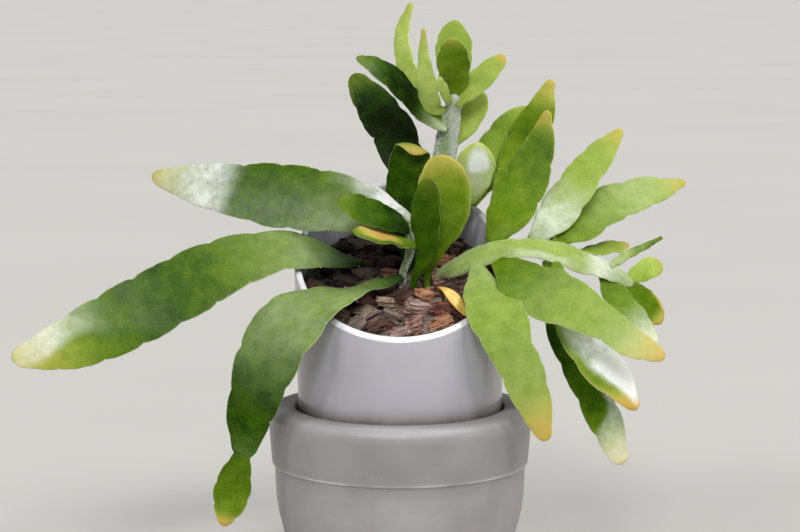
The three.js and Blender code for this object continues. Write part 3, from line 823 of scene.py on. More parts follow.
# %% Left shoot
SHOOTS = {}
SHOOTS["left_shoot"] = [
    # The stem
    {
        **STEM, "tone": [0.1, 0.4, 0.45], "scurf": [0.9, 0.9, 0.8],
        "line": [(1, -2, 127), (1, -2, 139), (1.5, -2, 146), (4, -2, 153), (4.5, -1, 160), (4, 0, 167)],
        "widths": [3.2, 3.4, 3.6, 4, 3.6],
    },
    # The long pad that reaches to the left
    {
        "tone": [0.4, 0.4, 0.38, 0.32, 0.26, 0.27, 0.32, 0.42, 0.55], "flush": 0.35,
        "painted_sheen": [0.6, 1.2, 0.9, 0.3, 0.05, 0, 0, 0, 0.1, 0.75, 0.7, 0.4, 0.15],
        "patch_side": [0.9, 0.9, 1, 1, 1, 0.5, 0, 0, 0, 0, 0, 0.4, 0.4],
        "patch_width": [1, 0.9, 0.8, 0.6, 0.6, 1.4, 2.4, 2.4, 2.4, 2.4, 2.4, 2.4, 2.4],
        "haze": [0, 0.05, 0.17, 0.15, 0.11, 0.09, 0.12, 0.1, 0.05], "haze_side": -0.9,
        "line": [
            (4, 0, 166), (1, 0, 169), (-21, 6.5, 174), (-44, 12, 176.5), (-67, 17.5, 179),
            (-89, 24.5, 181.5), (-112, 30, 185),
        ],
        "widths": [6, 22, 29, 31, 25.5, 18.5, 7],
        "faces": [(0.1, -0.95, 0.3), (0, -0.9, 0.45), (0, -0.95, 0.3)],
    },
    # The long pad that hangs down in front
    {
        # Its root is set to the deepest green, which is painted shade.
        "tone": [0, 0.34, 0.48, 0.46, 0.43, 0.33, 0.18, 0.18, 0.26], "flush": 0, "wave": 0.9,
        "painted_sheen": [0, 0.05, 0.12, 0.12, 0.14, 0.09, 0.02, 0, 0.03],
        "line": [
            (1, -3, 143.5), (-14, -16, 140.5), (-27, -28, 138.8), (-40.5, -37.5, 133.5), (-52, -43, 121.5),
            (-59, -45, 105.5), (-64, -43, 88.5), (-67, -42, 70),
        ],
        "widths": [5, 9, 20, 29, 30.5, 25.5, 19.5, 9],
        "faces": [(0, -0.5, 0.86), (-0.35, -0.45, 0.82), (-0.4, -0.85, 0.4), (-0.2, -1, 0.1), (0, -1, 0)],
    },
    # The small pad at its end
    {
        **SMALL, "tone": [0.3, 0.33, 0.4, 0.5, 0.6], "flush": 0.55, "rim": 0.15,
        "line": [(-67, -42, 73), (-70, -41, 63), (-74, -38, 47), (-76, -37, 40)],
        "widths": [7, 13, 16, 13, 5],
    },
    # The upper small pad
    {
        **SMALL, "tone": [0.06, 0.11, 0.2, 0.3, 0.36], "flush": 0.08, "rim": 0.04, "bristles": 0,
        "line": [(3.5, 0, 165.5), (-5, -9, 170), (-15, -16.5, 174), (-27, -22, 178.5)],
        "widths": [9, 13, 15, 14, 6],
        "faces": [(0, -0.8, 0.6)],
    },
    # The lower small pad, with a yellow upper side
    {
        **SMALL, "tone": [0.4, 0.38, 0.3, 0.3, 0.36], "flush": 0.04, "bristles": 0,
        "sunned": [0, 0.03, 0.35, 0.6, 0.65, 0.35, 0.05], "patch_side": [0.7], "patch_width": [1.7],
        "line": [(7, -4, 157.3), (-3.5, -13, 161.3), (-11.5, -22, 164), (-20, -29, 166)],
        "widths": [5, 10.5, 13.5, 12.5, 6],
        "faces": [(0, -0.58, 0.82)],
    },
]
print("left_shoot:", len(SHOOTS["left_shoot"]), "pads")

# %% [markdown]
# ## The far left pad
# This is the longest pad. It grows from the bark at the back on the left and lies over the pot's rim.

# %% Far left pad
SHOOTS["far_left_pad"] = [
    {
        # Its root is set to the deepest green, which is painted shade.
        "tone": [0, 0.08, 0.44, 0.42, 0.29, 0.22, 0.33, 0.5, 0.64], "flush": 0.35,
        "painted_sheen": [0, 0, 0.05, 0.12, 0.08, 0.04, 0.02, 0.02, 0.04, 0.06, 0.35, 0.6, 0.25],
        "patch_side": [0, 0, 0, 0, 0, 0, 0, 0, 0.3, 0.7, 0.9, 0.6, 0.2],
        "patch_width": [1.4, 1.4, 2, 2, 2, 2, 2, 2, 1.4, 1.2, 0.9, 1.2, 2],
        "line": [
            (-15, 10, 133), (-16, 9, 147), (-24, 4, 149.5), (-49, -2, 155), (-74, -6.5, 149.5),
            (-97, -11, 138.5), (-119.5, -16, 127), (-142.5, -22, 117), (-167, -28, 111),
        ],
        "widths": [3, 6, 22.5, 29, 32.5, 31.5, 29.5, 22.5, 8.5],
        "faces": [(-0.7, -0.6, 0), (0, -0.6, 0.8), (0, -0.75, 0.66), (0, -0.9, 0.4), (0, -0.95, 0.3)],
    },
]
print("shoots so far:", ", ".join(SHOOTS))

# %% [markdown]
# ## The front pads
# Two young pads stand in front on thin stalks, the darker before the brighter. The front one's
# darker tone is painted shade.

# %% Front pads
SHOOTS["front_pad_dark"] = [
    {
        **STALKED, "tone": [0.12, 0.2, 0.22, 0.25], "flush": 0.1, "rim": 0.03,
        "line": [(6, -8, 126), (6, -8, 141), (11.2, -13, 156), (11, -20, 172), (13, -26, 189)],
        "widths": [2.6, 2.6, 6.5, 12, 13.6, 9],
        "faces": [(0, -1, 0.2), (-0.3, -0.9, 0.3)],
    },
]
SHOOTS["front_pad_bright"] = [
    {
        **STALKED, "tone": [0.27, 0.32, 0.42, 0.48, 0.45], "flush": 0.34, "rim": 0.2,
        "line": [
            (12, -3, 126), (12, -3, 144), (16, -8, 156), (20, -13, 174), (18, -14, 189), (15.8, -14, 198),
        ],
        "widths": [2.6, 2.8, 7, 18, 23, 16],
        "faces": [(0, -1, 0.2), (0.1, -1, 0.2)],
    },
]
print("shoots so far:", ", ".join(SHOOTS))

# %% [markdown]
# ## The curled pad
# A third young pad stands behind them and curls over at its top. Its line makes the curl, and its faces
# have to turn with the line, or the pad would twist there. They are given at even steps along it.

# %% Curled pad
SHOOTS["curled_pad"] = [
    {
        # Its low tones darken the pad below the curl, which is painted shade.
        **STALKED, "tone": [0.05, 0.08, 0.1, 0.15, 0.2, 0.34], "flush_from": 0.84, "camber": 0.22,
        "line": [
            (4, 6, 128), (4, 6, 141), (3, 8, 160), (1.8, 8, 180), (3, 7, 190), (4.8, 6.3, 197),
            (6, 3.6, 200.5), (7, 0, 199.6), (7.6, -2.2, 196.8),
        ],
        "widths": [2.6, 2.8, 5, 9, 14, 16, 17, 17, 14],
        "faces": [
            *[(0, -1, 0)] * 14, (0, -0.9, -0.42), (-0.2, -0.15, -0.97), (-0.15, 0.73, -0.63),
        ],
    },
]
print("shoots so far:", ", ".join(SHOOTS))

# %% [markdown]
# ## The crown
# A tall old stem, silvery with scurf, carries small young pads. Their light greens set them off.

# %% The crown's stem and dark pads
SHOOTS["crown_shoot"] = [
    # The stem
    {
        "tone": [0.35, 0.5, 0.52], "flush": 0, "scurf": [0.3, 0.6, 1, 1], "midrib": 0.6,
        "painted_sheen": [0, 0, 0, 0.05, 0.25, 0.5, 0.8], "patch_side": [0.9, 0.9, 0.9, 0.8, 0.4],
        "patch_width": [0.7, 0.7, 0.7, 0.7, 1.5],
        "line": [(11, 8, 127), (11, 8, 148), (15, 11, 168), (20, 16, 197), (23, 14, 214), (24, 9, 223)],
        "widths": [3, 4, 8, 11, 10, 6],
        "lobe": 12,
        "notch": 0.5,
        "thickness": 2.6,
    },
    # The broad dark pad to the left, whose dark tone is painted shade
    {
        "tone": [0.1, 0.06, 0.0, 0.04, 0.2], "flush": 0.1, "rim": 0.05,
        "line": [(16, 13, 179), (4, 14, 190), (-3, 22, 205), (-13, 32, 219), (-21.5, 38, 230.5)],
        "widths": [5, 17, 20.5, 20.5, 17, 8],
        "faces": [(0.2, -0.95, 0.25)],
    },
    # The pad above it, with a painted sheen at its root
    {
        **SMALL, "tone": [0.7, 0.4, 0.04, 0.04, 0.2, 0.3], "flush": 0.1,
        "painted_sheen": [0.5, 0.35, 0.1, 0, 0, 0, 0, 0.04, 0], "patch_side": [-0.6], "patch_width": [0.9],
        "line": [(21, 15, 207), (10, 9, 215), (-1, 0, 228), (-10, -4, 235), (-19, -6, 239.5)],
        "widths": [5, 12, 16, 17, 13, 5],
        "faces": [(0.2, -0.65, 0.75)],
    },
]
print("crown_shoot so far:", len(SHOOTS["crown_shoot"]), "pads")

# %% The crown's tall light pads
SHOOTS["crown_shoot"] += [
    # The tallest pad
    {
        **SMALL, "tone": [0.8, 0.75, 0.94, 0.96, 0.88], "flush": 0.2,
        "line": [(20, 16, 208), (6, 28, 228), (1, 34, 243), (2, 38, 254), (5.5, 40, 262.5)],
        "widths": [4, 7, 9, 10, 8, 3],
        "faces": [(-0.6, -0.8, 0)],
    },
    # The narrow pad in front of it
    {
        **SMALL, "tone": [0.9, 1, 0.96, 0.86], "flush": 0.4,
        "line": [(20.5, 14, 215.5), (15, 10, 217), (12, 4, 226.5), (10.5, 1, 239), (10, 0, 252)],
        "widths": [2.2, 8.5, 9.8, 7.5, 4.2, 1.8],
        "faces": [(-0.3, -0.95, 0)],
    },
]
print("crown_shoot so far:", len(SHOOTS["crown_shoot"]), "pads")

# %% The crown's top and right side
SHOOTS["crown_shoot"] += [
    # The front pad of the two at the top
    {
        **SMALL, "tone": [0.6, 0.52, 0.48, 0.44, 0.44], "flush": 0.2,
        "line": [(24, 13, 220), (24, 7, 227.5), (23, -3, 238), (22, -8, 248)],
        "widths": [5, 11.5, 14.5, 14, 8],
        "faces": [(0, -0.85, 0.5)],
    },
    # The back pad of the two
    {
        **SMALL, "tone": [0.55, 0.64, 0.68], "flush": 0.1,
        "line": [(24, 12, 218), (24, 18, 231), (24, 23, 244), (24, 26, 255)],
        "widths": [4, 11, 15.5, 16, 8],
        "faces": [(0, -1, 0.3)],
    },
    # The smallest pad
    {
        **SMALL, "tone": [0.9, 1], "flush": 0.1,
        "line": [(22, 11, 219), (19, 3, 225), (17, -2, 231)],
        "widths": [3.6, 4.6, 4.8, 3],
        "faces": [(0, -0.9, 0.4)],
    },
    # The pad that points to the right
    {
        **SMALL, "tone": [0.74, 0.82, 0.8], "flush": 0.45,
        "line": [(24, 12, 217.5), (30.5, 9, 225), (38, 8, 232), (46, 8, 240)],
        "widths": [4, 9, 11.5, 10, 5],
        "faces": [(-0.2, -0.9, 0.4)],
    },
    # The short pad under it
    {
        **SMALL, "tone": [0.72, 0.74, 0.84, 0.8], "flush": 0.1,
        "line": [(23, 17, 199), (29.5, 18, 207.5), (32.5, 19, 214.5), (35, 20.5, 220), (36, 22, 224)],
        "widths": [2.5, 6.5, 11, 12, 6.5],
        "faces": [(-0.2, -0.9, 0.4)],
    },
]
print("crown_shoot:", len(SHOOTS["crown_shoot"]), "pads")

# %% [markdown]
# ## The shoot at the back on the right
# It stands behind the crown's stem and shows an oval pad whose white patch is a painted sheen.

# %% Shoot at the back on the right
SHOOTS["right_back_shoot"] = [
    # The stem
    {
        **STEM, "tone": [0.1, 0.35, 0.4], "scurf": [0.4, 0.3, 0.1],
        "line": [(15, 12, 128), (15, 12, 141), (15, 12, 151), (22, 15, 162), (32, 18, 176)],
        "widths": [3.2, 3.4, 3.6, 3.6],
    },
    # The oval pad
    {
        **SMALL, "tone": [0.7, 0.9, 0.95], "flush": 0.15,
        "painted_sheen": [0, 0, 0, 0.25, 1.7, 1.1, 0], "patch_side": [0.15], "patch_width": [0.68],
        "haze": [0, 0.2, 0.36, 0.4, 0.2, 0.03, 0],
        "line": [(31, 17, 173), (33, 12, 185), (33.5, 8.5, 194), (34, 7, 202)],
        "widths": [4, 11, 16.5, 17, 10],
        "faces": [(0.1, -0.9, 0.4)],
    },
    # The wider pad behind it
    {
        "tone": [0.5, 0.55, 0.55], "flush": 0.2,
        "line": [(31, 18, 173), (38, 26, 187), (49, 36, 202), (59, 44, 215)],
        "widths": [6, 14, 19, 20.5, 17, 9],
        "faces": [(0.2, -0.95, 0.2)],
    },
]
print("right_back_shoot:", len(SHOOTS["right_back_shoot"]), "pads")

# %% [markdown]
# ## The arching shoot
# Its stem is a long narrow pad that arches to the right and stays green. Four pads stand on its far
# margin, four hang from its near margin, and a tuft of small ones ends it.

# %% The arching shoot's stem
SHOOTS["arching_shoot"] = [
    # The stem
    {
        "tone": [0.4, 0.58, 0.68, 0.72, 0.6], "flush": 0,
        "painted_sheen": [0, 0, 0.1, 0.05, 0.05, 0.05, 0.25, 0.4, 0.3, 0.1, 0.65, 0.25, 0.15],
        "patch_side": [0, 0, 0, 0, 0, 0.3, 0.8, 0.9, 0.9, 0.5, 0, 0, 0],
        "patch_width": [1.4, 1.4, 1.4, 1.4, 1.4, 1, 0.8, 0.8, 0.8, 1.4, 2.6, 2.6, 2.6],
        "scurf": [0.3, 0.15, 0.1, 0.25], "grooves": 0.25,
        "line": [
            (16, 1, 127), (16, 1, 138), (16.5, 0.5, 142.5), (24, -4, 147.5), (37, -6, 153.5),
            (51.5, -6, 156.5), (65.5, -4, 155), (79, 0, 150), (92, 3.5, 145), (104, 8, 138.5),
        ],
        "widths": [3, 3.2, 8, 10.5, 10.4, 9.8, 12.4, 11.4, 8.4, 5.5],
        "lobe": 14,
        "notch": 0.7,
        "thickness": 2.4,
        "faces": [(0.8, -0.6, 0), (0, -0.8, 0.6), (0, -0.8, 0.6), (0, -0.8, 0.6)],
    },
]
print("arching_shoot so far: the stem")

# %% The arching shoot's standing pads
SHOOTS["arching_shoot"] += [
    # The tallest of the four
    {
        "tone": [0.5, 0.52, 0.46, 0.38, 0.6], "flush": 0.4,
        "line": [(44, 0, 159), (48, 12, 176), (56, 28, 197), (64, 39, 215), (69, 44, 228)],
        "widths": [5, 14, 18, 19.5, 15, 4],
        "faces": [(-0.2, -0.95, 0.3)],
    },
    # The broad one in front of it
    {
        "tone": [0.4, 0.44, 0.42, 0.34, 0.34], "flush": 0.36, "rim": 0.1,
        "line": [(39, -1, 157.5), (45, 2, 166), (50, 8, 174), (58, 15, 190), (63, 19, 203), (66, 22, 215)],
        "widths": [5, 19, 22, 20, 13, 4],
        "faces": [(-0.2, -0.95, 0.3)],
    },
    # The pale one beside them, with a painted sheen near its root
    {
        "tone": [0.5, 0.62, 0.7, 0.71, 0.73], "flush": 0.38,
        "painted_sheen": [0.2, 0.55, 0.5, 0.18, 0.03, 0.03, 0.03, 0], "patch_side": [-0.1], "patch_width": [1.7],
        "line": [(57, 0, 158.5), (66, 5, 166), (75, 14, 177), (88, 26, 193), (95, 31, 200), (100, 34, 206)],
        "widths": [5, 17, 19, 17, 14, 4],
        "faces": [(-0.3, -0.9, 0.4)],
    },
    # The one that reaches farthest to the right
    {
        "tone": [0.44, 0.5, 0.59, 0.74, 0.72], "flush": 0.38, "painted_sheen": [0, 0, 0.04, 0.06, 0.13, 0.1, 0],
        "line": [
            (66.5, 0.5, 157.5), (79, 10, 164), (93, 24, 172), (112, 38, 177), (123, 43, 179), (131, 46, 181),
        ],
        "widths": [5, 17, 19.5, 18, 14, 4],
        "faces": [(-0.2, -0.9, 0.4)],
    },
]
print("arching_shoot so far:", len(SHOOTS["arching_shoot"]), "pads")

# %% The arching shoot's hanging pads
SHOOTS["arching_shoot"] += [
    # The frontmost of the four
    {
        "tone": [0.55, 0.6, 0.58, 0.68, 0.74], "flush_from": 0.62,
        "painted_sheen": [0.1, 0.08, 0.04, 0.04, 0.06, 0.04, 0], "patch_width": [2.4],
        "line": [
            (33.5, -7, 149.5), (36, -21.5, 140.5), (40, -35, 134), (45, -43.5, 122.5), (51.5, -46, 108.5),
            (57, -46, 94), (62, -46, 79),
        ],
        "widths": [6, 15, 24, 25.5, 20, 18.5, 14, 6],
        "faces": [(0, -0.3, 0.95), (0.1, -0.7, 0.7), (0.1, -0.95, 0.25), (0, -1, 0)],
    },
    # The broad one beside it
    {
        "tone": [0.4, 0.45, 0.61, 0.65, 0.72], "flush_from": 0.62,
        "painted_sheen": [0, 0.02, 0.06, 0.05, 0.06, 0.14, 0.05], "patch_side": [-0.2], "patch_width": [2],
        "line": [
            (43, -8, 152), (52, -19, 145), (62, -28.5, 140), (74, -35, 135), (86.5, -39.5, 128.5),
            (98.5, -42.5, 120.5), (112, -44, 114.5),
        ],
        "widths": [9, 22.5, 28, 25, 17.5, 15.5, 6],
        "faces": [(0.1, -0.8, 0.6)],
    },
    # The one that is half covered by a painted sheen
    {
        "tone": [0.48, 0.5, 0.56, 0.58, 0.7], "flush": 0.6, "rim": 0.3,
        "painted_sheen": [0, 0.03, 0.06, 0.3, 0.8, 1.4, 1.9, 1.6, 0.1],
        "patch_side": [-0.2, -0.2, -0.25, -0.7, -0.8], "patch_width": [1.1, 1.1, 1.2, 1.25, 1],
        "line": [(68, -6, 151), (72, -17, 132), (83, -25, 113), (94.5, -29, 99.5), (102, -30, 89.5)],
        "widths": [4, 13, 18.5, 20.5, 17, 6],
        "faces": [(0.3, -0.9, 0.3)],
    },
    # The dark one behind them, with a painted sheen along one margin and at its tip
    {
        "tone": [0.3, 0.24, 0.2, 0.2, 0.24, 0.5, 0.75], "flush": 0.4,
        "painted_sheen": [0, 0, 0, 0.5, 0.9, 0.5, 0.35, 0.4, 0.5],
        "patch_side": [-1.1, -1.1, -1.1, -1.1, -1.1, -1, -1, 0, 0],
        "patch_width": [0.7, 0.7, 0.7, 0.7, 0.65, 0.7, 0.8, 2.4, 2.4],
        "line": [(64, -6, 152), (69, -8, 126), (81, -9, 100), (90, -10, 81), (98, -10, 61)],
        "widths": [4, 12, 16, 16.5, 16, 9],
        "faces": [(0.3, -0.95, 0.1)],
    },
]
print("arching_shoot so far:", len(SHOOTS["arching_shoot"]), "pads")

# %% The arching shoot's tuft
SHOOTS["arching_shoot"] += [
    # The hanging pad
    {
        **SMALL, "tone": [0.5, 0.44, 0.5, 0.6, 0.8], "flush": 0.25,
        "painted_sheen": [0, 0, 0, 0.03, 0.25, 0.55, 0.5], "patch_side": [-0.2], "patch_width": [2],
        "line": [(90, 6, 145), (93.5, 2.5, 138), (98, -2, 130.5), (105, -5, 122), (112.5, -8, 114)],
        "widths": [6, 13, 14.5, 13.5, 5],
        "faces": [(0.3, -0.8, 0.5)],
    },
    # The one with an orange rim
    {
        **SMALL, "tone": [0.36, 0.42], "flush": 0.45, "flush_from": 0.6, "rim": 0.7, "bristles": 3,
        "line": [(99.5, 7, 140), (106.5, 6, 132.5), (112, 7, 127), (116.5, 8, 121)],
        "widths": [5, 11, 14.5, 13, 6],
        "faces": [(0.3, -0.8, 0.5)],
    },
    # The round one
    {
        **SMALL, "tone": [0.7, 0.82], "flush": 0.4, "rim": 0.5, "bristles": 3,
        "line": [(101, 8, 140), (107, 13, 143), (113, 18, 145), (118.5, 22, 144.5)],
        "widths": [4, 8, 10, 10, 5],
        "faces": [(0.1, -0.9, 0.4)],
    },
    # The thin one, which is the youngest and has the most bristles
    {
        **SMALL, "tone": [0.62, 0.58, 0.45, 0.3], "flush": 0.1, "bristles": 6,
        "painted_sheen": [0.3, 0.15, 0.05, 0],
        "line": [(92, 4, 146.5), (101, 16, 150.5), (110, 27, 153), (119.5, 36, 156.5)],
        "widths": [3, 4.6, 4.2, 3.2, 1.8],
        "faces": [(0.1, -0.8, 0.6)],
    },
    # The short one above the stem
    {
        **SMALL, "tone": [0.65, 0.72], "flush": 0.45, "rim": 0.3, "bristles": 5,
        "line": [(77.5, 1, 152.5), (87, 14, 153), (96, 24, 153.5), (103.5, 30, 154)],
        "widths": [4, 6.5, 8, 8.5, 4],
        "faces": [(0.1, -0.6, 0.8)],
    },
]
print("arching_shoot:", len(SHOOTS["arching_shoot"]), "pads")

# %% [markdown]
# ## The yellow pad
# A small pad has died back at the right of the bark and fallen over on its stalk.

# %% Yellow pad
SHOOTS["yellow_pad"] = [
    {
        **STALKED, "tone": [0.4, 1, 1], "flush": 0, "notch": 0, "fringe": 0.1,
        "line": [
            (19, -14, 119), (19, -14, 133), (18.2, -16.5, 139.5), (18.6, -20.2, 140.8), (21.5, -22.6, 138.6),
            (25.2, -25.2, 134.8), (29.5, -28, 129.5),
        ],
        "widths": [1.4, 1.4, 1.4, 1.8, 4.4, 5.6, 5.4, 3],
        "root_thickness": 1.2,
        "thickness": 1.1,
        "faces": [
            (0, 1, 0), (0, 1, 0), (0, 1, 0), (0, 1, 0.2), (0, 0.6, 0.8), (0.1, -0.2, 1), (0.2, -0.6, 0.8),
            (0.3, -0.8, 0.5), (0.3, -0.8, 0.5),
        ],
    },
]
print("pads:", sum(len(pads) for pads in SHOOTS.values()))

# %% [markdown]
# ## The midline
# A smooth curve through given points could be a Bezier or NURBS object. Here each stretch
# between two points is one cubic piece, which mathutils works out, with handles that follow the
# neighbouring points. Dividing by the square root of each gap keeps short gaps from making loops.

# %% Midline
STEPS_PER_STRETCH = 40
SLOPE_STEP = 0.4 * MM


class Midline:
    """A smooth line through points in millimetres, read by the distance from its start in metres"""

    def __init__(self, points):
        knots = [Vector(point) * MM for point in points]
        knots = [2 * knots[0] - knots[1], *knots, 2 * knots[-1] - knots[-2]]
        self.points = []
        for before, start, end, after in zip(knots, knots[1:], knots[2:], knots[3:]):
            gap_in, gap, gap_out = (
                math.sqrt((q - p).length) for p, q in ((before, start), (start, end), (end, after))
            )
            slope_in = (start - before) / gap_in - (end - before) / (gap_in + gap) + (end - start) / gap
            slope_out = (end - start) / gap - (after - start) / (gap + gap_out) + (after - end) / gap_out
            self.points += interpolate_bezier(
                start, start + slope_in * gap / 3, end - slope_out * gap / 3, end, STEPS_PER_STRETCH,
            )[:-1]
        self.points.append(knots[-2])
        self.distances = [0]
        for p, q in zip(self.points, self.points[1:]):
            self.distances.append(self.distances[-1] + (q - p).length)
        self.length = self.distances[-1]

    def at(self, distance):
        distance = min(max(distance, 0), self.length)
        index = next(i for i, end in enumerate(self.distances[1:]) if distance <= end)
        start, end = self.distances[index], self.distances[index + 1]
        return self.points[index].lerp(self.points[index + 1], (distance - start) / (end - start))

    def along(self, distance):
        return (self.at(distance + SLOPE_STEP) - self.at(distance - SLOPE_STEP)).normalized()


bend = Midline([(0, 0, 0), (10, 0, 0), (10, 10, 0)])
print("a line with a corner of 10 and 10 mm is", round(bend.length / MM, 1), "mm long once it is smooth")

# %% [markdown]
# ## Widths and scallops
# The width between two given values is read from a smooth curve through all of them. A scallop is a
# full curve with a sharp notch, which the third power of the place across it gives. The two margins
# have their notches half a lobe apart, as on the plant.

# %% Widths and scallops
# A pad's tip is rounded over this share of its last width.
TIP_SHARE = 0.6
# The margins are also a little ragged every few millimetres, more and more over the first ones.
FRINGE_LENGTH = 3.2
FRINGE_START = 8


def ease(start, end, share):
    t = min(max(share, 0), 1)
    return start + (end - start) * t * t * (3 - 2 * t)


def value_at(values, share):
    """A smooth value, or point, at a share of the way along evenly spaced ones"""
    if len(values) == 1:
        return values[0]
    place = min(max(share, 0), 1) * (len(values) - 1)
    index = min(int(place), len(values) - 2)
    before, start, end, after = (
        values[min(max(i, 0), len(values) - 1)] for i in range(index - 1, index + 3)
    )
    t = place - index
    slope_in = (end - before) / 2
    slope_out = (after - start) / 2
    rise = end - start
    curve = slope_in * t + (3 * rise - 2 * slope_in - slope_out) * (t * t)
    return start + curve + (slope_in + slope_out - 2 * rise) * (t * t * t)


def lobe_shift(side):
    """The share of a lobe by which the right margin's notches come earlier than the left one's"""
    return 0.5 if side > 0 else 0


def half_width(form, distance, length, side):
    """Half the width in millimetres, at a distance in millimetres"""
    body = value_at(form["widths"], distance / length) / 2
    tip_length = TIP_SHARE * form["widths"][-1]
    to_tip = min((length - distance) / tip_length, 1)
    rounding = math.sqrt(max(1 - (1 - to_tip) ** 2, 0))
    phase = distance / form["lobe"] + lobe_shift(side)
    across_lobe = 2 * (phase - math.floor(phase)) - 1
    notch = form["notch"] * abs(across_lobe) ** 3 * body / (max(form["widths"]) / 2)
    ragged = noise.noise(Vector((distance / FRINGE_LENGTH, side * 5, form["widths"][1])))
    return (body - notch + form["fringe"] * ragged * ease(0, 1, distance / FRINGE_START)) * rounding


print("a quarter of the way from 0 to 10:", ease(0, 10, 0.25), "eased,", value_at([0, 10], 0.25), "smooth")

# %% [markdown]
# ## Building a pad
# A pad could be a sheet with a Solidify modifier, but real ones are thick in the middle and thin at the
# margin, with a rounded edge and a midrib that fades out. So a flat grid is rolled up: its columns go
# round the section and its rows go from root to tip, and each vertex is moved to its place. The seam
# and both ends are then merged, which leaves one closed skin.
# Each vertex also keeps numbers that say where on the pad it is, for the material to read.

# %% Sizes within a pad
ROW_LENGTH = 0.9
COLUMNS = 32
EDGE_ROUNDING = 0.35
ROW_CROWDING = 1.25
ROOT_MARGIN = 0.8
RIB_WIDTH = 1.5
RIB_LENGTH = 0.8
GROOVE_PLACE = 0.42
GROOVE_WIDTH = 0.1
TIP_CLOSING = 1.5
ROOT_CLOSING = 0.5
# Waves and swells grow over the first millimetres, so that a root stays plain.
PLAIN_ROOT = 14
WAVES_PER_LOBE = 0.73
WAVE_POWER = 2.5
SWELL_LENGTH = 13
SWELL_HEIGHT = 0.25
FINISH_LAYERS = ("along", "across", "tone", "flush", "scurf", "painted_sheen")
print("finish is kept as", ", ".join(FINISH_LAYERS))

# %% The finish at a place on a pad
# How slowly the flush starts; where the rim's colour starts and how far it takes to grow, across the pad
# and along it; how strong scurf is on the midline; and how much of a patch's width is full
FLUSH_POWER = 1.5
RIM_INSIDE = 0.7
RIM_WIDTH = 0.3
RIM_START = 0.3
RIM_RISE = 0.55
SCURF_MIDDLE = 0.4
PATCH_CORE = 0.5


def pad_finish(form, along, across):
    """What the skin's material reads at a place on the pad"""
    start = form["flush_from"]
    tip = ease(0, 1, (along - start) / (1 - start)) ** FLUSH_POWER * form["flush"]
    at_rim = ease(0, 1, (abs(across) - RIM_INSIDE) / RIM_WIDTH)
    rim = at_rim * ease(0, 1, (along - RIM_START) / RIM_RISE) * form["rim"]
    # The patch holds the painted sheen, a painted highlight, and the sunned yellow. The haze is a fainter
    # painted sheen.
    away = abs(across - value_at(form["patch_side"], along)) / value_at(form["patch_width"], along)
    patch = ease(1, 0, (away - PATCH_CORE) / (1 - PATCH_CORE))
    haze = value_at(form["haze"], along) * ease(1, 0, abs(across - form["haze_side"]) / 2)
    return {
        "along": along,
        "across": across,
        "tone": value_at(form["tone"], along),
        "flush": min(tip + rim + value_at(form["sunned"], along) * patch, 1),
        "scurf": value_at(form["scurf"], along) * ease(SCURF_MIDDLE, 1, abs(across)),
        "painted_sheen": max(value_at(form["painted_sheen"], along) * patch, haze, 0),
    }


print("at a plain pad's tip:", pad_finish(PAD, 1, 0))

# %% A section of a pad


def complete(shape):
    """A pad's form: its description with the defaults filled in, and its line and faces made ready"""
    form = {**PAD, **shape}
    form["midline"] = Midline(form["line"])
    form["faces"] = [Vector(face).normalized() for face in form["faces"]]
    return form


def section_frame(form, distance):
    """The centre of a section, with the directions to its right and out of its upper face"""
    line = form["midline"]
    place = distance * MM
    along = line.along(place)
    face = value_at(form["faces"], place / line.length)
    side = along.cross(face).normalized()
    return line.at(place), side, side.cross(along)


def skin_lift(form, distance, length, edge, across, turn):
    """How far the skin lies from the middle of the flesh, in millimetres"""
    share = distance / form["thinning"]
    middle = ease(form["root_thickness"], form["thickness"], share) / 2
    thin = ease(ROOT_MARGIN * form["root_thickness"], form["margin"], share) / 2
    body = middle + (thin - middle) * across * across
    rib = form["midrib"] * math.exp(-(edge / RIB_WIDTH) ** 2)
    body += rib * ease(1, 0, distance / length / RIB_LENGTH)
    body -= form["grooves"] * math.exp(-((abs(across) - GROOVE_PLACE) / GROOVE_WIDTH) ** 2)
    closing = math.sqrt(min((length - distance) / TIP_CLOSING, 1)) * min(distance / ROOT_CLOSING, 1)
    return body * closing * math.copysign(abs(math.sin(turn)) ** EDGE_ROUNDING, math.sin(turn))


def camber_lift(form, edge):
    """How far the camber lifts a place that lies this far from the midline"""
    return form["camber"] * edge * edge * 2 / max(form["widths"])


def bends(form, distance, edge, across, index):
    """What lifts or lowers both faces at a place: the camber, the margins' waves and soft swells"""
    lobes = distance / form["lobe"] + lobe_shift(across)
    wave = math.sin(math.tau * lobes * WAVES_PER_LOBE + index)
    grown = ease(0, 1, distance / PLAIN_ROOT)
    where = Vector((distance / SWELL_LENGTH, edge / SWELL_LENGTH, index * 7.7))
    yield camber_lift(form, edge)
    yield form["wave"] * wave * abs(across) ** WAVE_POWER * grown
    yield SWELL_HEIGHT * noise.noise(where) * grown


FORMS = {node: [complete(shape) for shape in pads] for node, pads in SHOOTS.items()}
longest = max((form["midline"].length, node) for node, forms in FORMS.items() for form in forms)
print(f"the longest line is in {longest[1]}: {longest[0] / MM:.0f} mm")

# %% One pad


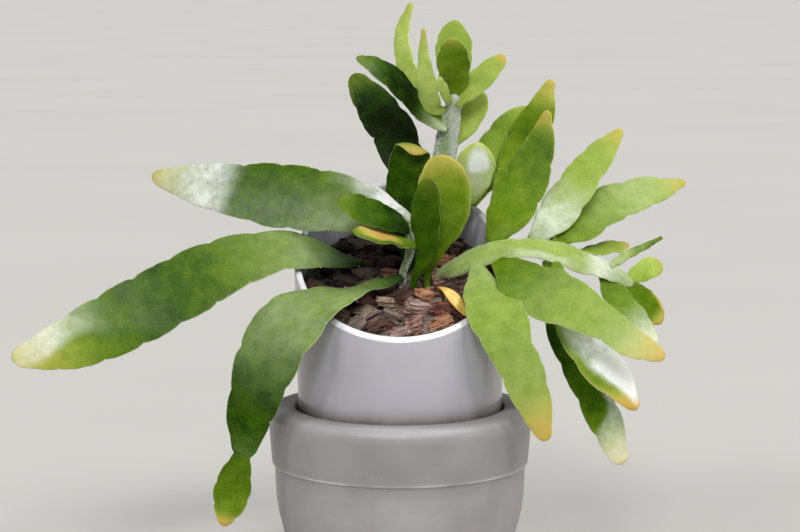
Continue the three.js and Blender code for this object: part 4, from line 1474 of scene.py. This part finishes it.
def add_pad(bm, form, layers, index):
    length = form["midline"].length / MM
    rows = round(length / ROW_LENGTH)
    grid = bmesh.ops.create_grid(bm, x_segments=rows, y_segments=COLUMNS, size=1)["verts"]
    sections = {}
    for vert in grid:
        share = (vert.co.x + 1) / 2
        row = round(share * rows)
        turn = (vert.co.y + 1) * math.pi
        distance = length * (1 - (1 - share) ** ROW_CROWDING)
        if row not in sections:
            sections[row] = section_frame(form, distance)
        centre, side, face = sections[row]
        across = math.cos(turn)
        # The root closes in a point.
        edge = half_width(form, distance, length, across) * across if row else 0
        lift = skin_lift(form, distance, length, edge, across, turn)
        for bend in bends(form, distance, edge, across, index):
            lift += bend
        vert.co = centre + (side * edge + face * lift) * MM
        for name, value in pad_finish(form, distance / length, across).items():
            vert[layers[name]] = value
    bmesh.ops.remove_doubles(bm, verts=grid, dist=2 * SAME_PLACE)


def shoot_mesh(forms):
    bm = bmesh.new()
    layers = {name: bm.verts.layers.float.new(name) for name in FINISH_LAYERS}
    for index, form in enumerate(forms):
        add_pad(bm, form, layers, index)
    bmesh.ops.recalc_face_normals(bm, faces=bm.faces)
    return bm


print("faces round a section:", COLUMNS, "and sections about every", ROW_LENGTH, "mm")

# %% [markdown]
# ## The pads' finish
# A cactus stem has a waxy skin over watery flesh, which lets a little light through. The green is never
# even: chlorophyll gathers in patches a few millimetres wide, breathing pores dot it with pale points,
# and sun turns the tips and rims yellow and orange. A fine pale line follows the margin of a light
# green pad. Old stems carry a silvery scurf of dry scales.
# The white sheens that soft boxes leave on the wax could be left to a glossy skin and a lamp beside
# it. They are painted highlights here, pale patches painted at their places, so that they look the same
# from all sides, and the skin's own gloss is kept low, or the sky would turn every pad blue.
# The pores are drawn about half a millimetre wide, several times too large, so that they show.

# %% Waxy cactus skin
SKIN_GREENS = [
    (0.0, "#0e1a00"), (0.12, "#1f3c00"), (0.25, "#3b5a02"), (0.45, "#607c10"), (0.6, "#7c952c"),
    (0.75, "#92a745"), (0.9, "#a5ba58"), (1.0, "#bccd6e"),
]


def waxy_skin():
    material, place = new_material("waxy_cactus_skin")
    read = {
        name: add_node(material, "Attribute", attribute_name=name).outputs["Fac"]
        for name in FINISH_LAYERS
    }
    patches = add_node(material, "TexNoise", {"Vector": place}, Scale=per(7), Detail=4, Roughness=0.6)
    patch_shift = add_node(material, "MapRange", {"Value": patches}, To_Min=-0.2, To_Max=0.2)
    cells = add_node(material, "TexNoise", {"Vector": place}, Scale=per(0.9), Detail=3)
    cell_shift = add_node(material, "MapRange", {"Value": cells}, To_Min=-0.1, To_Max=0.1)
    shifted = add_node(material, "Math", {0: read["tone"], 1: patch_shift}, operation="ADD")
    tone = add_node(material, "Math", {0: shifted, 1: cell_shift}, operation="ADD")
    pores = add_node(material, "TexVoronoi", {"Vector": place}, Scale=per(1.1))
    pore_share = add_node(material, "MapRange", {"Value": pores}, From_Min=0.3, From_Max=0.12, To_Max=0.08)
    dotted = add_node(material, "Math", {0: tone, 1: pore_share}, operation="ADD")
    green = add_node(material, "ValToRGB", {"Fac": dotted}, ramp=SKIN_GREENS)
    flush_noise = add_node(material, "TexNoise", {"Vector": place}, Scale=per(4), Detail=3)
    uneven = add_node(material, "MapRange", {"Value": flush_noise}, To_Min=0.55, To_Max=1.35)
    flush = add_node(material, "Math", {0: read["flush"], 1: uneven}, operation="MULTIPLY")
    sun = add_node(
        material, "ValToRGB", {"Fac": flush},
        ramp=[(0.0, "#9fac3e"), (0.3, "#bcb155"), (0.65, "#c99b4c"), (1.0, "#b3722f")],
    )
    flush_share = add_node(
        material, "MapRange", {"Value": flush}, From_Min=0.03, From_Max=0.42, To_Max=0.95,
    )
    flushed = add_node(material, "Mix", {"Factor": flush_share, "A": green, "B": sun}, data_type="RGBA")
    # Painted highlight: the painted sheen mixes the colour towards near white, broken into clouds.
    sheen_clouds = add_node(material, "TexNoise", {"Vector": place}, Scale=per(5), Detail=5, Roughness=0.65)
    cloud_cover = add_node(
        material, "MapRange", {"Value": sheen_clouds}, From_Min=0.25, From_Max=0.6, To_Min=0.35, To_Max=1,
    )
    painted_sheen = add_node(material, "Math", {0: cloud_cover, 1: read["painted_sheen"]}, operation="MULTIPLY")
    sheen_painted = add_node(material, "Mix", {"Factor": painted_sheen, "A": flushed}, data_type="RGBA", B="#eef0ec")
    edge = add_node(material, "Math", {"Value": read["across"]}, operation="ABSOLUTE")
    at_edge = add_node(material, "MapRange", {"Value": edge}, From_Min=0.96, From_Max=0.995)
    edge_share = add_node(material, "Math", {0: at_edge, 1: read["tone"]}, operation="MULTIPLY")
    edged = add_node(material, "Mix", {"Factor": edge_share, "A": sheen_painted}, data_type="RGBA", B="#c9d49c")
    scales = add_node(material, "TexNoise", {"Vector": place}, Scale=per(0.7), Detail=4, Roughness=0.8)
    scale_cover = add_node(
        material, "MapRange", {"Value": scales}, From_Min=0.45, From_Max=0.55, To_Min=0.12,
    )
    scurf = add_node(material, "Math", {0: scale_cover, 1: read["scurf"]}, operation="MULTIPLY")
    silvered = add_node(material, "Mix", {"Factor": scurf, "A": edged}, data_type="RGBA", B="#e4e7e8")
    pitted = add_node(material, "Bump", {"Height": cells}, Strength=0.25, Distance=0.1 * MM)
    swollen = add_node(
        material, "Bump", {"Height": patches, "Normal": pitted}, Strength=0.2, Distance=0.3 * MM,
    )
    flaky = add_node(
        material, "Bump", {"Height": scurf, "Normal": swollen}, Strength=0.8, Distance=0.25 * MM,
    )
    wax = add_node(material, "MapRange", {"Value": cells}, To_Min=0.36, To_Max=0.5)
    dull = add_node(material, "Math", {0: scurf, 1: 0.3, 2: wax}, operation="MULTIPLY_ADD")
    return surface(
        material, {"Base Color": silvered, "Roughness": dull, "Normal": flaky}, IOR=1.5,
        Specular_IOR_Level=0.08,
        Subsurface_Weight=0.12, Subsurface_Scale=2.5 * MM, Subsurface_Radius=(0.6, 1.0, 0.2),
    )


skin = waxy_skin()
print("skin nodes:", len(skin.node_tree.nodes))

# %% [markdown]
# ## The yellow pad's finish
# The pad that has died back has lost its chlorophyll, so its skin is an uneven yellow, from ochre to
# straw, and its stalk has dried to brown.

# %% Yellowed skin


def yellowed_skin():
    material, place = new_material("yellowed_cactus_skin")
    along = add_node(material, "Attribute", attribute_name="along").outputs["Fac"]
    patches = add_node(material, "TexNoise", {"Vector": place}, Scale=per(2.5), Detail=4)
    yellow = add_node(material, "ValToRGB", {"Fac": patches}, ramp=[(0.3, "#d1a038"), (0.7, "#e2c566")])
    stalk = add_node(material, "MapRange", {"Value": along}, From_Min=0.5, From_Max=0.62)
    whole = add_node(material, "Mix", {"Factor": stalk, "B": yellow}, data_type="RGBA", A="#5c4a22")
    relief = add_node(material, "Bump", {"Height": patches}, Strength=0.5, Distance=0.3 * MM)
    return surface(
        material, {"Base Color": whole, "Normal": relief}, IOR=1.47, Roughness=0.42,
        Subsurface_Weight=0.15, Subsurface_Scale=2 * MM, Subsurface_Radius=(1.0, 0.8, 0.2),
    )


dead_skin = yellowed_skin()
print("yellow skin nodes:", len(dead_skin.node_tree.nodes))

# %% All the shoots
for node, forms in FORMS.items():
    finish, slot = (dead_skin, "yellow_pads") if node == "yellow_pad" else (skin, "pads")
    make_piece(node + "_skin", shoot_mesh(forms), finish, slot, node)

# %% [markdown]
# ## Wool and bristles
# In each notch sits an areole, the cushion that makes a cactus a cactus: a tuft of white wool, with a
# few fine bristles on young growth. The tufts are small lumpy spheres and the bristles thin cones.
# There are hundreds, so each has only a few faces.

# %% Sizes of wool and bristles
TUFT_RADIUS = 0.24
TUFT_SPREAD = 0.2
TUFT_BALLS = 3
BALL_SIZES = (0.6, 1.0)
BALL_LUMPS = 0.05
BRISTLE_RADIUS = 0.035
BRISTLE_TIP = 0.2
BRISTLE_LENGTHS = (1.2, 3.4)
BRISTLE_LEAN = 0.55
AREOLE_LEAN = 0.5
AREOLE_SEED = 21
# No areole shows on the first millimetres of a pad, nor at its very tip.
BARE_ROOT = 6
BARE_TIP = 0.8
print("bristles are up to", BRISTLE_LENGTHS[1], "mm long and", 2 * BRISTLE_RADIUS, "mm thick")

# %% The areoles' places


def areoles(form):
    """The place of every notch on a pad's margins, with the way out of it"""
    line = form["midline"]
    length = line.length / MM
    for side in (-1, 1):
        for number in range(1, math.ceil(length / form["lobe"]) + 2):
            distance = (number - lobe_shift(side)) * form["lobe"]
            if BARE_ROOT < distance < length - BARE_TIP:
                centre, right, face = section_frame(form, distance)
                edge = side * half_width(form, distance, length, side)
                out = right * side + line.along(distance * MM) * AREOLE_LEAN
                yield centre + (right * edge + face * camber_lift(form, edge)) * MM, out.normalized()
    yield line.points[-1], line.along(line.length)


print("areoles on the far left pad:", len(list(areoles(FORMS["far_left_pad"][0]))))

# %% Tufts and bristles


def add_tuft(bm, centre, rng):
    for _ in range(TUFT_BALLS):
        shift = Vector(rng.uniform(-TUFT_SPREAD, TUFT_SPREAD) for _ in range(3)) * MM
        ball = bmesh.ops.create_icosphere(
            bm, subdivisions=1, radius=TUFT_RADIUS * rng.uniform(*BALL_SIZES) * MM,
            matrix=Matrix.Translation(centre + shift),
        )["verts"]
        for vert in ball:
            vert.co += Vector(rng.uniform(-BALL_LUMPS, BALL_LUMPS) for _ in range(3)) * MM


def add_bristle(bm, root, way, long):
    turned = way.to_track_quat("Z", "Y").to_matrix().to_4x4()
    middle = root + way * long * MM / 2
    bmesh.ops.create_cone(
        bm, cap_ends=True, segments=3,
        radius1=BRISTLE_RADIUS * MM, radius2=BRISTLE_TIP * BRISTLE_RADIUS * MM,
        depth=long * MM, matrix=Matrix.Translation(middle) @ turned,
    )


wool_bm = bmesh.new()
bristle_bm = bmesh.new()
rng = random.Random(AREOLE_SEED)
count = 0
for forms in FORMS.values():
    for form in forms:
        if not form["bristles"]:
            continue
        for centre, out in areoles(form):
            count += 1
            add_tuft(wool_bm, centre, rng)
            for _ in range(rng.randint(form["bristles"] - 1, form["bristles"] + 1)):
                lean = Vector(rng.uniform(-BRISTLE_LEAN, BRISTLE_LEAN) for _ in range(3))
                way = (out + lean).normalized()
                add_bristle(bristle_bm, centre, way, rng.uniform(*BRISTLE_LENGTHS))
print("areoles:", count)

# %% [markdown]
# ## Wool and bristle finish
# Plant wool is like cotton: white, without any gloss. A bristle is a dry hollow hair that catches the
# light and is nearly white too, a little straw-coloured at its root.

# %% Wool and bristle materials


def areole_wool():
    material, place = new_material("areole_wool")
    tangle = add_node(material, "TexNoise", {"Vector": place}, Scale=per(0.3), Detail=3)
    white = add_node(material, "ValToRGB", {"Fac": tangle}, ramp=[(0.3, "#cfcdbd"), (0.7, "#f1f0ea")])
    fuzz = add_node(material, "Bump", {"Height": tangle}, Strength=1.0, Distance=0.2 * MM)
    return surface(material, {"Base Color": white, "Normal": fuzz}, Roughness=0.95, Sheen_Weight=0.3)


def dry_bristle():
    material, place = new_material("dry_bristle")
    shade = add_node(material, "TexNoise", {"Vector": place}, Scale=per(1.5), Detail=2)
    straw = add_node(material, "ValToRGB", {"Fac": shade}, ramp=[(0.35, "#d9d2b8"), (0.65, "#f4f2ec")])
    return surface(material, {"Base Color": straw}, Roughness=0.4)


make_piece("areole_wool_tufts", wool_bm, areole_wool(), "pads")
make_piece("areole_bristles", bristle_bm, dry_bristle(), "pads")

# %% [markdown]
# ## Floor
# The studio floor is plain and pale, and runs out of sight so that no edge shows behind the plant.

# %% Floor
FLOOR_SIZE = 200


def pale_floor():
    material, place = new_material("pale_studio_floor")
    haze = add_node(material, "TexNoise", {"Vector": place}, Scale=2, Detail=2)
    pale = add_node(material, "ValToRGB", {"Fac": haze}, ramp=[(0.3, "#c3c1bd"), (0.7, "#c7c5c1")])
    return surface(material, {"Base Color": pale}, Roughness=0.8)


floor_bm = bmesh.new()
bmesh.ops.create_grid(floor_bm, x_segments=1, y_segments=1, size=FLOOR_SIZE)
floor = new_object("floor", floor_bm, pale_floor())
print("floor:", FLOOR_SIZE * 2, "m wide")

# %% [markdown]
# ## Surroundings
# The walls of a pale room throw a little light into every shadow. They could be built round the plant,
# but a plain background colour gives the same even light. The Standard view shows it as it was picked.

# %% Surroundings
world = bpy.data.worlds.new("pale_studio")
world.use_nodes = True
background = world.node_tree.nodes["Background"]
background.inputs["Color"].default_value = color("#dcdad6")
background.inputs["Strength"].default_value = 0.2
bpy.context.scene.world = world
bpy.context.scene.view_settings.view_transform = "Standard"
print("background strength:", round(background.inputs["Strength"].default_value, 2))
